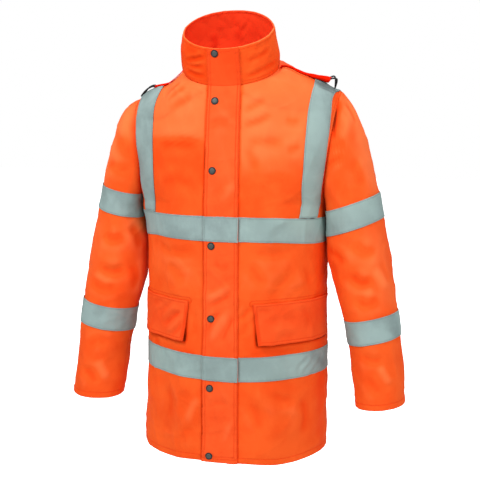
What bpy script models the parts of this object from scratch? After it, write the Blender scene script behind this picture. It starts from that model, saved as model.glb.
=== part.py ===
"""A hi-vis work jacket in its worn shape, with no wearer in it.

Metres, +Z up. The front faces -Y and the wearer's left is +X. The origin is the centre of the seam
between collar and body. Tables give the cloth in body coordinates, whose Y = 0 is the middle of the
body's depth; place() moves them to the origin at the neck.
"""

import math

import bpy
import numpy as np

# --- driving dimensions ------------------------------------------------------------------------

SHELL_WALL = 0.0025
COLLAR_WALL = 0.0030
FLAP_WALL = 0.0026
POCKET_FLAP_WALL = 0.0028
TAPE_WALL = 0.0010
STRAP_WALL = 0.0028
SEAM_GAP = 0.0003
COLLAR_GAP = 0.0005  # between the neck seam and the collar
TAPE_WIDTH = 0.050
BODY_BACK = 0.055  # the body's middle lies this far behind the neck's middle

NECK_HALF_WIDTH = 0.0965
NECK_HALF_DEPTH = 0.0780
NECK_TILT = 0.0335  # the seam's front lies this far below its sides, its back as far above
SIDE_SEAM = 0.19  # the side seams' distance from the middle at the hem
FRONT_SPLIT = 0.0004  # each front panel starts this far from the middle, where the closure hides

CHEST_TAPE_TOP = -0.285
LOWER_TAPE_TOP = -0.567
POCKET_TOP = -0.459
POCKET_DROP = 0.084
POCKET_INNER_TOP = 0.0660
POCKET_INNER_BOTTOM = 0.0750
POCKET_OUTER_SHARE = 0.985  # of the way from the middle to the side seam
POCKET_LIFT = 0.0010
POCKET_FLARE = 0.0045  # how much further the flap's lower edge stands off

FLAP_FREE_TOP = -0.0268  # the free edge at the collar seam
FLAP_FREE_HEM = -0.0372  # and at the hem
FLAP_SEWN_EDGE = 0.0375
FLAP_LIFT = 0.0019  # clear of the tape that runs under it
COLLAR_FLAP_LIFT = 0.0008

SNAP_RADIUS = 0.0075
SNAP_HEIGHT = 0.0024
SNAP_FROM_EDGE = 0.0160  # from the flap's free edge
SNAP_DROPS = (0.068, 0.200, 0.344, 0.490, 0.633, 0.773)  # below the origin
COLLAR_SNAP_SHARE = 0.88  # of the collar's height

STRAP_START = 0.03  # share of the shoulder seam
STRAP_LIFT = 0.0006  # at its sewn end
STRAP_RISE = 0.0016  # how much it rises in its first half, to clear the tape it crosses
LOOP_DIAMETER = 0.0032

# the wearer's right side hangs lower at the shoulder and wider at the hem than the left
RIGHT_DROOP = 0.019  # at the shoulder's tip
DROOP_START = 0.088  # distance from the middle where the droop starts
DROOP_TIP = 0.210  # and where it is full
DROOP_FOOT = -0.300  # height where it starts
DROOP_TOP = -0.080  # and where it is full
RIGHT_SPREAD = 0.0075  # at the hem's side
SPREAD_HEIGHTS = (-0.79, -0.46, -0.31)
SPREAD_SHARES = (1.0, 0.5, 0.0)

# --- tables ------------------------------------------------------------------------------------
# Each row of a panel runs from its inner point (on the middle line, or on the neck seam where
# neck_turn is given) to its outer point (on the side seam or the armhole), round an arc of `turn`.

PANEL_COLUMNS = ("middle_y", "middle_z", "neck_turn", "edge_x", "edge_y", "edge_z", "turn", "sag")

FRONT = (
    # level          middle_y  middle_z  neck   edge_x  edge_y   edge_z  turn  sag
    ("hem",          -0.1600, -0.7870,   None,  0.1900,  0.0000, -0.7870, 90, 0.000),
    ("skirt",        -0.1590, -0.7000,   None,  0.1885,  0.0000, -0.7000, 90, 0.000),
    ("lower_tape",   -0.1575, -0.5920,   None,  0.1870,  0.0000, -0.5920, 90, 0.000),
    ("pocket",       -0.1560, -0.4900,   None,  0.1863,  0.0000, -0.4900, 90, 0.000),
    ("waist",        -0.1555, -0.3950,   None,  0.1863,  0.0000, -0.3950, 90, 0.000),
    ("chest_tape",   -0.1550, -0.3100,   None,  0.1870,  0.0000, -0.3100, 90, 0.000),
    ("armpit",       -0.1540, -0.2550,   None,  0.1880,  0.0000, -0.2700, 88, 0.000),
    ("armhole_low",  -0.1510, -0.2050,   None,  0.1870, -0.0460, -0.2400, 76, 0.004),
    ("armhole_mid",  -0.1465, -0.1450,   None,  0.1930, -0.0600, -0.1900, 66, 0.008),
    ("armhole_high", -0.1400, -0.0850,   None,  0.2020, -0.0585, -0.1350, 60, 0.014),
    ("neck_front",   -0.1330, -0.0335,      0,  0.2090, -0.0450, -0.0880, 56, 0.020),
    ("neck_side",    None,     None,       47,  0.2130, -0.0210, -0.0600, 42, 0.010),
    ("shoulder",     None,     None,       89,  0.2135,  0.0050, -0.0480, 16, 0.000),
)

BACK = (
    ("hem",           0.1330, -0.7870,   None,  0.1900,  0.0000, -0.7870, 90, 0.000),
    ("skirt",         0.1300, -0.7000,   None,  0.1885,  0.0000, -0.7000, 90, 0.000),
    ("lower_tape",    0.1260, -0.5920,   None,  0.1870,  0.0000, -0.5920, 90, 0.000),
    ("pocket",        0.1230, -0.4900,   None,  0.1863,  0.0000, -0.4900, 90, 0.000),
    ("waist",         0.1230, -0.3950,   None,  0.1863,  0.0000, -0.3950, 90, 0.000),
    ("chest_tape",    0.1260, -0.3100,   None,  0.1870,  0.0000, -0.3100, 90, 0.000),
    ("armpit",        0.1290, -0.2550,   None,  0.1880,  0.0000, -0.2700, 88, 0.000),
    ("armhole_low",   0.1310, -0.1980,   None,  0.1890,  0.0440, -0.2400, 76, 0.002),
    ("armhole_mid",   0.1270, -0.1340,   None,  0.1960,  0.0620, -0.1900, 66, 0.002),
    ("armhole_high",  0.1120, -0.0670,   None,  0.2050,  0.0640, -0.1350, 58, 0.004),
    ("neck_back",     0.0230,  0.0335,    180,  0.2110,  0.0500, -0.0880, 50, 0.006),
    ("neck_side",     None,     None,     134,  0.2135,  0.0280, -0.0610, 36, 0.004),
    ("shoulder",      None,     None,      89,  0.2135,  0.0050, -0.0480, 16, 0.000),
)

SLEEVES = {
    "left": (
        # level       x       y        z       half_width  half_depth  lean
        ("biceps",   0.2510, -0.0080, -0.3300, 0.0585, 0.0690, 14),
        ("elbow",    0.2635, -0.0130, -0.4100, 0.0625, 0.0690, 13),
        ("forearm",  0.2820, -0.0210, -0.5000, 0.0580, 0.0640, 12),
        ("wrist",    0.2950, -0.0260, -0.5900, 0.0545, 0.0600, 9),
        ("cuff",     0.3055, -0.0290, -0.6790, 0.0510, 0.0560, 6),
    ),
    "right": (
        ("biceps",   0.2490, -0.0080, -0.3300, 0.0570, 0.0690, 14),
        ("elbow",    0.2600, -0.0130, -0.4150, 0.0625, 0.0690, 12),
        ("forearm",  0.2775, -0.0210, -0.5100, 0.0600, 0.0640, 11),
        ("wrist",    0.2930, -0.0260, -0.6050, 0.0560, 0.0600, 8),
        ("cuff",     0.3060, -0.0290, -0.6950, 0.0535, 0.0560, 3),
    ),
}

COLLAR_COLUMNS = ("forward", "half_width", "half_depth", "rise_front", "rise_back")

COLLAR = (
    # level    forward  half_width  half_depth  rise_front  rise_back
    ("lower",  0.0080,  0.0962,     0.0750,     0.0260,     0.0280),
    ("upper",  0.0175,  0.0940,     0.0700,     0.0500,     0.0550),
    ("rim",    0.0265,  0.0910,     0.0655,     0.0720,     0.0800),
)

SHOULDER_TAPE_INNER = (
    # height, distance of the tape's inner edge from the middle
    (-0.283, 0.1460),
    (-0.200, 0.1510),
    (-0.085, 0.1560),
    (-0.030, 0.1630),
)

SLEEVE_TAPES = {
    # the lower edge's height on the sleeve's middle, and how steeply the ring rises outwards
    "left": {"upper": (-0.3120, 15.0), "fore": (-0.5440, 12.0)},
    "right": {"upper": (-0.3010, 12.0), "fore": (-0.5440, 11.0)},
}

STRAPS = {
    # the free end's share of the shoulder seam, and how much further than the rest it stands off
    "left": (0.750, 0.0085),
    "right": (0.665, 0.0045),
}

LOOPS = {
    # half of a loop, from its bow under the strap's end to its foot at the armhole: the share of
    # the shoulder seam, how many rows it lies off the seam, and its height over the shoulder
    "left": (
        (0.690, 0.00, 0.0067),
        (0.700, 0.38, 0.0070),
        (0.728, 0.62, 0.0078),
        (0.770, 0.70, 0.0098),
        (0.810, 0.70, 0.0108),
        (0.850, 0.70, 0.0095),
        (0.885, 0.70, 0.0064),
        (0.915, 0.70, 0.0033),
    ),
    "right": (
        (0.605, 0.00, 0.0036),
        (0.615, 0.38, 0.0037),
        (0.643, 0.62, 0.0041),
        (0.700, 0.70, 0.0056),
        (0.790, 0.70, 0.0056),
        (0.880, 0.70, 0.0048),
        (0.940, 0.70, 0.0038),
    ),
}

FOLD_COLUMNS = ("x0", "y0", "z0", "x1", "y1", "z1", "reach", "depth")

FOLDS = (
    # place             from: x, y, z             to: x, y, z           reach  depth
    ("left_front_drape", 0.120, -0.120, -0.360,   0.140, -0.110, -0.780, 0.030, -0.0030),
    ("left_front_swell", 0.070, -0.150, -0.640,   0.085, -0.150, -0.800, 0.030, 0.0030),
    ("right_front_drape", -0.130, -0.110, -0.350, -0.120, -0.120, -0.780, 0.030, -0.0030),
    ("right_front_swell", -0.075, -0.150, -0.650, -0.085, -0.150, -0.800, 0.028, 0.0030),
    ("back_left_drape",  0.080, 0.120, -0.350,    0.095, 0.120, -0.800, 0.035, -0.0040),
    ("back_right_drape", -0.085, 0.120, -0.380,   -0.075, 0.120, -0.800, 0.035, -0.0040),
    ("back_swell",       0.000, 0.130, -0.450,    0.010, 0.130, -0.800, 0.040, 0.0040),
    ("left_elbow",       0.215, -0.060, -0.400,   0.300, -0.100, -0.440, 0.016, -0.0035),
    ("left_elbow_back",  0.225, 0.030, -0.430,    0.330, 0.020, -0.400, 0.018, -0.0035),
    ("right_elbow",      -0.215, -0.060, -0.410,  -0.300, -0.100, -0.440, 0.016, -0.0035),
    ("right_elbow_back", -0.225, 0.030, -0.420,   -0.330, 0.020, -0.400, 0.018, -0.0035),
)

CAPS = {
    # how the sleeve leaves the armhole at the shoulder, and how far it keeps that direction
    "left": (0.74, -0.67, 0.80),
    "right": (0.82, -0.57, 0.85),
}

CAP_PIT = np.array([0.16, 0.0, -0.98])  # how it leaves at the armpit
CAP_SIDE = np.array([0.0, -0.28, 0.0])  # and what is added to both at the front

TAPE_START_LEFT = FLAP_SEWN_EDGE + 0.0010
TAPE_START_RIGHT = 0.0060  # the right front's tape runs on under the flap
TAPE_LIFT = 0.0007
SHOULDER_TAPE_LIFT = 0.0009  # more, because its lines run across the rows
TAPE_FROM_ARMHOLE = 0.0030
FLAP_STEPS = 5
FLAP_BUTT = 0.0018  # the storm flap ends this far below the neck seam
COLLAR_FLAP_FOOT = 0.09  # levels above the neck seam where the collar's flap starts
COLLAR_FLAP_SHORT = 0.01  # levels below the rim where it ends
TAPE_BUTT = 0.03  # row share between the shoulder tape's ends and the chest tape
TAPE_UNDERARM_COLUMNS = 2  # the upper sleeve tape ends this many columns from the armpit line
FLAP_UPPER_ROWS = (6.0, 6.8, 7.6, 8.4, 9.2, 9.9)
STRAP_ROWS = 1.0  # rows of the front, and of the back, that half the strap covers

# --- sampling ----------------------------------------------------------------------------------

PANEL_STEPS = 9  # columns from the middle to the edge
COLLAR_STEPS = 5
STRAP_STEPS = 6
SLEEVE_CAP_STEPS = 7
SLEEVE_STEPS = 9
UNDER_ARMPIT_HEIGHTS = (
    -0.787, -0.745, -0.700, -0.660,
    LOWER_TAPE_TOP - TAPE_WIDTH, LOWER_TAPE_TOP - TAPE_WIDTH / 2, LOWER_TAPE_TOP,
    -0.530, -0.490, -0.450, -0.410, -0.370,
    CHEST_TAPE_TOP - TAPE_WIDTH, CHEST_TAPE_TOP - TAPE_WIDTH / 2, CHEST_TAPE_TOP,
)
ARMPIT_ROW = 6.0
NECK_ROW = 10.0
SHOULDER_ROW = 12.0
ARMHOLE_ROWS = (6.0, 6.5, 7.0, 7.6, 8.3, 9.1, 10.0, 10.4, 10.8, 11.2, 11.6, 12.0)

# --- materials ---------------------------------------------------------------------------------

MATERIALS = {
    # name: colour, roughness, metallic
    "orange_shell": ((1.000, 0.122, 0.017), 0.55, 0.0),
    "orange_flap": ((1.000, 0.095, 0.020), 0.55, 0.0),
    "reflective_tape": ((0.310, 0.400, 0.380), 0.35, 0.1),
    "snap_metal": ((0.110, 0.120, 0.120), 0.35, 0.8),
    "loop_cord": ((0.020, 0.020, 0.024), 0.60, 0.0),
}


def material(name):
    """The named material, made once."""
    found = bpy.data.materials.get(name)
    if found:
        return found
    colour, roughness, metallic = MATERIALS[name]
    made = bpy.data.materials.new(name)
    made.use_nodes = True
    shader = made.node_tree.nodes["Principled BSDF"]
    shader.inputs["Base Color"].default_value = (*colour, 1.0)
    shader.inputs["Roughness"].default_value = roughness
    shader.inputs["Metallic"].default_value = metallic
    return made


# --- grids of points ---------------------------------------------------------------------------


def unit(vectors):
    return vectors / np.linalg.norm(vectors, axis=-1, keepdims=True)


def smooth_read(knots, at):
    """Rows of `knots` read at fractional row numbers, on a cubic through them with centred slopes."""
    knots = np.asarray(knots, float)
    at = np.clip(np.asarray(at, float), 0.0, len(knots) - 1)
    slopes = np.gradient(knots, axis=0)
    low = np.minimum(at.astype(int), len(knots) - 2)
    t = (at - low).reshape(at.shape + (1,) * (knots.ndim - 1))
    return (
        (1 + 2 * t) * (1 - t) ** 2 * knots[low]
        + t * (1 - t) ** 2 * slopes[low]
        + t * t * (3 - 2 * t) * knots[low + 1]
        - t * t * (1 - t) * slopes[low + 1]
    )


def neck_point(turn):
    """A point of the neck seam, `turn` degrees round from the middle of the front."""
    a = np.radians(turn)
    return np.stack(
        [
            NECK_HALF_WIDTH * np.sin(a),
            -BODY_BACK - NECK_HALF_DEPTH * np.cos(a),
            -NECK_TILT * np.cos(a),
        ],
        axis=-1,
    )


def panel_knots(table):
    """Inner point, outer point, turn and sag of each level of a panel's table."""
    knots = []
    for row in table:
        level = dict(zip(PANEL_COLUMNS, row[1:]))
        if level["neck_turn"] is None:
            inner = (0.0, level["middle_y"], level["middle_z"])
        else:
            inner = neck_point(level["neck_turn"])
        edge = (level["edge_x"], level["edge_y"], level["edge_z"])
        knots.append((*inner, *edge, math.radians(level["turn"]), level["sag"]))
    return np.array(knots)


def panel_levels(table, rows):
    """The panel's levels at fractional rows. The outer line has a corner at the armpit, the inner one
    at the neck, where it turns into the neck seam."""
    knots, rows = panel_knots(table), np.asarray(rows, float)
    level = smooth_read(knots, rows)
    armpit, neck = int(ARMPIT_ROW), int(NECK_ROW)
    below, above = smooth_read(knots[: armpit + 1], rows), smooth_read(knots[armpit:], rows - armpit)
    level[:, 3:6] = np.where(rows[:, None] <= armpit, below, above)[:, 3:6]
    turns = [row[PANEL_COLUMNS.index("neck_turn") + 1] for row in table[neck:]]
    seam = neck_point(np.interp(rows - neck, np.arange(len(turns)), turns))
    middle = smooth_read(knots[: neck + 1], rows)[:, 0:3]
    level[:, 0:3] = np.where(rows[:, None] <= neck, middle, seam)
    return level


def panel_points(table, rows, shares):
    """Points of a panel: each row an arc from its inner to its outer point, `shares` of the way along."""
    level = panel_levels(table, rows)
    inner, outer = level[:, None, 0:3], level[:, None, 3:6]
    turn, sag = level[:, 6:7], level[:, 7:8]
    share = np.atleast_2d(shares)
    across = np.sin(turn * share) / np.sin(turn)
    deep = (1 - np.cos(turn * share)) / (1 - np.cos(turn))
    points = np.empty(across.shape + (3,))
    points[..., 0] = inner[..., 0] + (outer - inner)[..., 0] * across
    points[..., 1] = inner[..., 1] + (outer - inner)[..., 1] * deep
    points[..., 2] = inner[..., 2] + (outer - inner)[..., 2] * across
    points[..., 2] -= sag * np.sin(np.pi * share) ** 2
    return points


def rows_at(table, heights):
    """The fractional rows whose middle lies at these heights, below the armpit."""
    fine = np.linspace(0.0, ARMPIT_ROW, 400)
    middle_z = smooth_read(panel_knots(table), fine)[:, 2]
    return np.interp(heights, middle_z, fine)


def panel_rows(table):
    return np.concatenate([rows_at(table, UNDER_ARMPIT_HEIGHTS), ARMHOLE_ROWS])


def normals_of(points, closed=False):
    """The outward normal at each point of a grid whose columns run anticlockwise seen from outside."""
    along = np.gradient(points, axis=0)
    if closed:
        across = np.roll(points, -1, axis=1) - np.roll(points, 1, axis=1)
    else:
        across = np.gradient(points, axis=1)
    return unit(np.cross(across, along))


def folded(points, normals):
    """The points moved along their normals into the soft folds: each fold is a line in space that
    pushes what lies within its reach, fading with the square of the distance."""
    moved = np.zeros(points.shape[:-1])
    for row in FOLDS:
        fold = dict(zip(FOLD_COLUMNS, row[1:]))
        start = np.array([fold["x0"], fold["y0"], fold["z0"]])
        line = np.array([fold["x1"], fold["y1"], fold["z1"]]) - start
        share = np.clip((points - start) @ line / (line @ line), 0.0, 1.0)
        away = np.linalg.norm(points - (start + share[..., None] * line), axis=-1)
        moved += fold["depth"] * np.exp(-((away / fold["reach"]) ** 2))
    return points + moved[..., None] * normals


def hung(points):
    """The right side's points, turned to the left, moved to where that side hangs."""
    x, z = points[..., 0], points[..., 2]
    towards_tip = np.clip((x - DROOP_START) / (DROOP_TIP - DROOP_START), 0.0, 1.0) ** 0.9
    towards_top = np.clip((z - DROOP_FOOT) / (DROOP_TOP - DROOP_FOOT), 0.0, 1.0)
    towards_hem = np.interp(z, SPREAD_HEIGHTS, SPREAD_SHARES)
    moved = points.copy()
    moved[..., 2] -= RIGHT_DROOP * towards_tip * towards_top
    moved[..., 0] += RIGHT_SPREAD * towards_hem * np.clip(x / SIDE_SEAM, 0.0, 1.0) ** 2
    return moved


def seam_normals(own, other):
    """The shared normal of two pieces at a seam, or each its own where the cloth doubles back."""
    blend = np.clip((np.sum(own * other, axis=-1, keepdims=True) + 0.1) / 0.5, 0.0, 1.0)
    return unit(own + blend * other)


def draw_back(edge, neighbours, gap=SEAM_GAP / 2):
    """Moves a sewn edge, in place, back from its seam by half the gap or another."""
    edge += gap * unit(neighbours - edge)


def on_grid(values, rows, columns):
    """A grid read between its points, at fractional row and column numbers."""
    rows, columns = np.broadcast_arrays(rows, columns)
    i = np.clip(rows.astype(int), 0, values.shape[0] - 2)
    j = np.clip(columns.astype(int), 0, values.shape[1] - 2)
    s, t = (rows - i)[..., None], (columns - j)[..., None]
    low = values[i, j] * (1 - t) + values[i, j + 1] * t
    high = values[i + 1, j] * (1 - t) + values[i + 1, j + 1] * t
    return low * (1 - s) + high * s


# --- solids ------------------------------------------------------------------------------------


def grid_faces(index):
    """The triangles of a grid of point numbers, facing out, every quad split along the same diagonal."""
    a, b, c, d = (index[:-1, :-1], index[:-1, 1:], index[1:, 1:], index[1:, :-1])
    corners = [np.stack([k.ravel() for k in three], axis=-1) for three in ((a, b, c), (a, c, d))]
    return np.concatenate(corners)


def rim_faces(faces, count):
    """The triangles that join each open edge of the outside to the inside, numbered `count` higher."""
    edges = np.concatenate([np.roll(faces, -k, axis=1)[:, :2] for k in range(3)])
    keys = edges[:, 0] * count + edges[:, 1]
    back_keys = edges[:, 1] * count + edges[:, 0]
    start, end = edges[~np.isin(keys, back_keys)].T
    low = np.stack([end, start, start + count], axis=-1)
    high = np.stack([end, start + count, end + count], axis=-1)
    return np.concatenate([low, high])


def place(points):
    return points + (0.0, BODY_BACK, 0.0)


def add_object(name, points, faces, finish, right=False):
    """An object of the wearer's left side, or the same turned over to the right."""
    if right:
        points = points * (-1.0, 1.0, 1.0)
        faces = [face[::-1] for face in faces]
    mesh = bpy.data.meshes.new(name)
    mesh.from_pydata(place(points).tolist(), [], [list(map(int, face)) for face in faces])
    mesh.materials.append(material(finish))
    mesh.shade_smooth()
    mesh.set_sharp_from_angle(angle=math.radians(50))
    thing = bpy.data.objects.new(name, mesh)
    bpy.context.scene.collection.objects.link(thing)
    return thing


def add_shell(name, outer, inner, faces, finish, right=False):
    """A closed solid between two sets of matching points: the outside, the inside and the rim."""
    count = len(outer)
    faces = np.concatenate([faces, faces[:, ::-1] + count, rim_faces(faces, count)])
    return add_object(name, np.concatenate([outer, inner]), faces, finish, right)


def add_wall(name, outer, inner, finish, right=False, closed=False):
    """A closed solid between two grids of points, which a closed grid joins to a tube."""
    index = np.arange(outer[..., 0].size).reshape(outer.shape[:2])
    if closed:
        index = np.hstack([index, index[:, :1]])
    outer, inner = outer.reshape(-1, 3), inner.reshape(-1, 3)
    return add_shell(name, outer, inner, grid_faces(index), finish, right)


def add_halves(name, halves, shared_rows, finish, inwards=False):
    """A closed solid over both sides. Each half is an outer and an inner grid whose first column, up
    to the shared rows, lies on the middle line; `inwards` is for halves whose columns face in."""
    outer, inner, faces, numbers, used = [], [], [], None, 0
    for side, (outside, inside) in enumerate(halves):
        index = np.full(outside.shape[:2], -1)
        fresh = np.ones(index.shape, bool)
        if side:
            index[:shared_rows, 0] = numbers[:shared_rows, 0]
            fresh[:shared_rows, 0] = False
        index[fresh] = used + np.arange(fresh.sum())
        used += fresh.sum()
        flip = (-1.0 if side else 1.0, 1.0, 1.0)
        outer.append((outside * flip)[fresh])
        inner.append((inside * flip)[fresh])
        half_faces = grid_faces(index[:, ::-1] if inwards else index)
        faces.append(half_faces[:, ::-1] if side else half_faces)
        numbers = index
    faces = np.concatenate(faces)
    return add_shell(name, np.concatenate(outer), np.concatenate(inner), faces, finish)


def layer_of(points, normals, lift, wall):
    """Outer and inner points of what lies `lift` clear of these points and is `wall` thick."""
    lift = np.broadcast_to(lift, points.shape[:2])[..., None]
    return points + (lift + wall) * normals, points + lift * normals


def add_layer(name, points, normals, lift, wall, finish, right=False, closed=False):
    outer, inner = layer_of(points, normals, lift, wall)
    return add_wall(name, outer, inner, finish, right, closed)


def add_rings(name, rings, start, end, finish, right=False):
    """A solid skinned over rings of points, closed by a fan of triangles at each end."""
    index = np.arange(rings[..., 0].size).reshape(rings.shape[:2])
    index = np.hstack([index, index[:, :1]])
    first, last = index.max() + 1, index.max() + 2
    faces = grid_faces(index).tolist()
    faces += [[first, b, a] for a, b in zip(index[0][:-1], index[0][1:])]
    faces += [[last, a, b] for a, b in zip(index[-1][:-1], index[-1][1:])]
    return add_object(name, np.concatenate([rings.reshape(-1, 3), [start, end]]), faces, finish, right)


def add_turned(name, profile, centre, axis, finish, steps=12):
    """A solid turned from (radius, height) pairs about an axis, from its base up to its top."""
    side = unit(np.cross(axis, (0.0, 0.0, 1.0)))
    other = np.cross(axis, side)
    angles = np.linspace(0.0, 2 * np.pi, steps, endpoint=False)[None, :, None]
    radii, heights = (values[:, None, None] for values in np.array(profile).T)
    rings = centre + radii * (np.cos(angles) * side + np.sin(angles) * other) + heights * axis
    return add_rings(name, rings, centre + profile[0][1] * axis, centre + profile[-1][1] * axis, finish)


def add_cord(name, points, outs, diameter, finish, right=False, steps=8):
    """A round cord along a line of points, whose ends are flat."""
    along = unit(np.gradient(points, axis=0))
    side = unit(np.cross(along, outs))
    other = np.cross(along, side)
    angles = np.linspace(0.0, 2 * np.pi, steps, endpoint=False)[None, :, None]
    round_it = np.cos(angles) * side[:, None] + np.sin(angles) * other[:, None]
    rings = points[:, None] + diameter / 2 * round_it
    return add_rings(name, rings, points[0], points[-1], finish, right)


# --- the body ----------------------------------------------------------------------------------

SHARES = np.linspace(0.0, 1.0, PANEL_STEPS + 1)
ARMPIT = len(UNDER_ARMPIT_HEIGHTS)
NECK = ARMPIT + ARMHOLE_ROWS.index(NECK_ROW)
SIDES = (("left", False), ("right", True))


def level_middle(normals, points):
    """A normal on the middle line leans to neither side."""
    on_middle = np.abs(points[..., 0]) < 1e-6
    normals[..., 0] = np.where(on_middle, 0.0, normals[..., 0])
    return unit(normals)


def join(own, own_at, other, other_at):
    """Gives two pieces the same normals at the seam where own[own_at] meets other[other_at]."""
    first, second = own[own_at].copy(), other[other_at].copy()
    own[own_at], other[other_at] = seam_normals(first, second), seam_normals(second, first)


def body_normals(front, back):
    """Outward normals of the half front and half back, shared at the side and shoulder seams."""
    front_n = level_middle(normals_of(front), front)
    back_n = level_middle(-normals_of(back), back)
    join(front_n, np.s_[:ARMPIT, -1], back_n, np.s_[:ARMPIT, -1])
    join(front_n, np.s_[-1, :], back_n, np.s_[-1, :])
    return front_n, back_n


def armhole(front, back):
    """Values round the armhole: from the armpit up the front to the shoulder, then down the back."""
    return np.concatenate([front[ARMPIT:, -1], back[ARMPIT:, -1][::-1][1:-1]])


def set_armhole(front, back, ring):
    half = len(ring) // 2
    front[ARMPIT:, -1] = ring[: half + 1]
    back[ARMPIT:, -1] = np.concatenate([ring[half:], ring[:1]])[::-1]


def neckline(front, back):
    """Values along the neck seam, from the middle of the front round to the middle of the back."""
    return np.concatenate([front[NECK:, 0], back[NECK:, 0][::-1][1:]])


def set_neckline(front, back, line):
    half = front.shape[0] - NECK
    front[NECK:, 0] = line[:half]
    back[NECK:, 0] = line[half - 1 :][::-1]


def sleeve_points(side, ring):
    """Points of a sleeve, cuff first: from the armhole ring each line leaves in its own direction,
    joins the first section and then follows the sections, which are ellipses about the arm."""
    table, (out_x, out_z, pull) = SLEEVES[side], CAPS[side]
    sections = np.array([row[1:] for row in table], float)
    half = len(ring) // 2
    run = np.linalg.norm(np.diff(np.vstack([ring, ring[:1]]), axis=0), axis=1).cumsum()
    run = np.concatenate([[0.0], run])
    front_share = run[: half + 1] / run[half]
    back_share = (run[half + 1 : -1] - run[half]) / (run[-1] - run[half])
    turn = np.pi * np.concatenate([front_share, 1 + back_share])

    def section(at):
        x, y, z, half_width, half_depth, lean = smooth_read(sections, at).T[..., None]
        out = -np.cos(turn) * half_width
        points = np.empty(out.shape + (3,))
        points[..., 0] = x + out * np.cos(np.radians(lean))
        points[..., 1] = y - np.sin(turn) * half_depth
        points[..., 2] = z + out * np.sin(np.radians(lean))
        return points

    first, second = section(np.array([0.0, 0.25]))
    onward = unit(second - first)
    weight = np.sin(turn / 2)[:, None] ** 2
    top = np.array([out_x, 0.0, out_z])
    outward = unit(weight * top + (1 - weight) * CAP_PIT + np.sin(turn)[:, None] * CAP_SIDE)
    reach = np.linalg.norm(first - ring, axis=1)[:, None] * (1 - weight + weight * pull)
    t = np.linspace(1.0, 0.0, SLEEVE_CAP_STEPS + 1)[1:, None, None]
    cap = (
        (1 + 2 * t) * (1 - t) ** 2 * ring
        + t * (1 - t) ** 2 * reach * outward
        + t * t * (3 - 2 * t) * first
        - t * t * (1 - t) * reach * onward
    )
    down = section(np.linspace(len(sections) - 1, 0.0, SLEEVE_STEPS + 1))
    return np.concatenate([down, cap])


def collar_points(turns, shares):
    """Points of the collar: from the neck seam its levels narrow, rise and lean forwards to the rim."""
    a = np.radians(turns)
    seam = neck_point(turns)
    levels = [seam]
    for row in COLLAR:
        level = dict(zip(COLLAR_COLUMNS, row[1:]))
        backness = (1 - np.cos(a)) / 2
        x = level["half_width"] * np.sin(a)
        y = -BODY_BACK - level["forward"] - level["half_depth"] * np.cos(a)
        rise = level["rise_front"] * (1 - backness) + level["rise_back"] * backness
        levels.append(np.stack([x, y, seam[:, 2] + rise], axis=-1))
    return smooth_read(levels, shares)


# --- main pieces -------------------------------------------------------------------------------


def rows_between(low, high):
    """Row numbers of the under-armpit rows from one height to another."""
    return np.arange(UNDER_ARMPIT_HEIGHTS.index(low), UNDER_ARMPIT_HEIGHTS.index(high) + 1)


def column_at(grid, row, x):
    """The fractional column of a half panel's row whose points reach this distance from the middle."""
    return np.interp(x, grid[row, :, 0], np.arange(grid.shape[1]))


class Jacket:
    """The grids of the main pieces, with their shared seams settled."""

    def __init__(self):
        front = panel_points(FRONT, panel_rows(FRONT), SHARES)
        back = panel_points(BACK, panel_rows(BACK), SHARES)
        front_n, back_n = body_normals(front, back)
        self.front, self.back = {}, {}
        self.front_n, self.back_n = {}, {}
        self.sleeve, self.sleeve_n = {}, {}
        for side, right in SIDES:
            flip = np.array([-1.0 if right else 1.0, 1.0, 1.0])
            self.front[side] = folded(front * flip, front_n * flip) * flip
            self.back[side] = folded(back * flip, back_n * flip) * flip
            if right:
                self.front[side], self.back[side] = hung(self.front[side]), hung(self.back[side])
        middle = (self.back["left"][:, 0] + self.back["right"][:, 0]) / 2
        for side, right in SIDES:
            self.back[side][: NECK + 1, 0] = middle[: NECK + 1] * (0.0, 1.0, 1.0)
            self.front_n[side], self.back_n[side] = body_normals(self.front[side], self.back[side])
            ring = armhole(self.front[side], self.back[side])
            flip = np.array([-1.0 if right else 1.0, 1.0, 1.0])
            sleeve = sleeve_points(side, ring)
            sleeve[:-1] = folded(sleeve * flip, normals_of(sleeve, closed=True) * flip)[:-1] * flip
            self.sleeve[side] = sleeve
            self.sleeve_n[side] = normals_of(sleeve, closed=True)
            edge_n = armhole(self.front_n[side], self.back_n[side])
            own, other = edge_n.copy(), self.sleeve_n[side][-1].copy()
            set_armhole(self.front_n[side], self.back_n[side], seam_normals(own, other))
            self.sleeve_n[side][-1] = seam_normals(other, own)

    def both(self, side):
        """The points and normals of a side's front and of its back."""
        return (self.front[side], self.front_n[side]), (self.back[side], self.back_n[side])


def draw_back_panel(points):
    """Draws a half panel back from its shoulder, side and armhole seams."""
    draw_back(points[-1], points[-2])
    draw_back(points[:, -1], points[:, -2])


def add_fronts(jacket):
    for side, right in SIDES:
        points, normals = jacket.front[side].copy(), jacket.front_n[side]
        draw_back_panel(points)
        points[: NECK + 1, 0, 0] = FRONT_SPLIT
        add_wall("front_" + side, points, points - SHELL_WALL * normals, "orange_shell", right)


def add_back(jacket):
    """One piece, whose halves share their points on the middle line up to the neck."""
    halves = []
    for side, _ in SIDES:
        points, normals = jacket.back[side].copy(), jacket.back_n[side]
        draw_back_panel(points)
        halves.append((points, points - SHELL_WALL * normals))
    add_halves("back", halves, NECK + 1, "orange_shell", inwards=True)


def add_sleeves(jacket):
    for side, right in SIDES:
        points, normals = jacket.sleeve[side].copy(), jacket.sleeve_n[side]
        draw_back(points[-1], points[-2], SEAM_GAP)
        inner = points - SHELL_WALL * normals
        add_wall("sleeve_" + side, points, inner, "orange_shell", right, closed=True)


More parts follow.
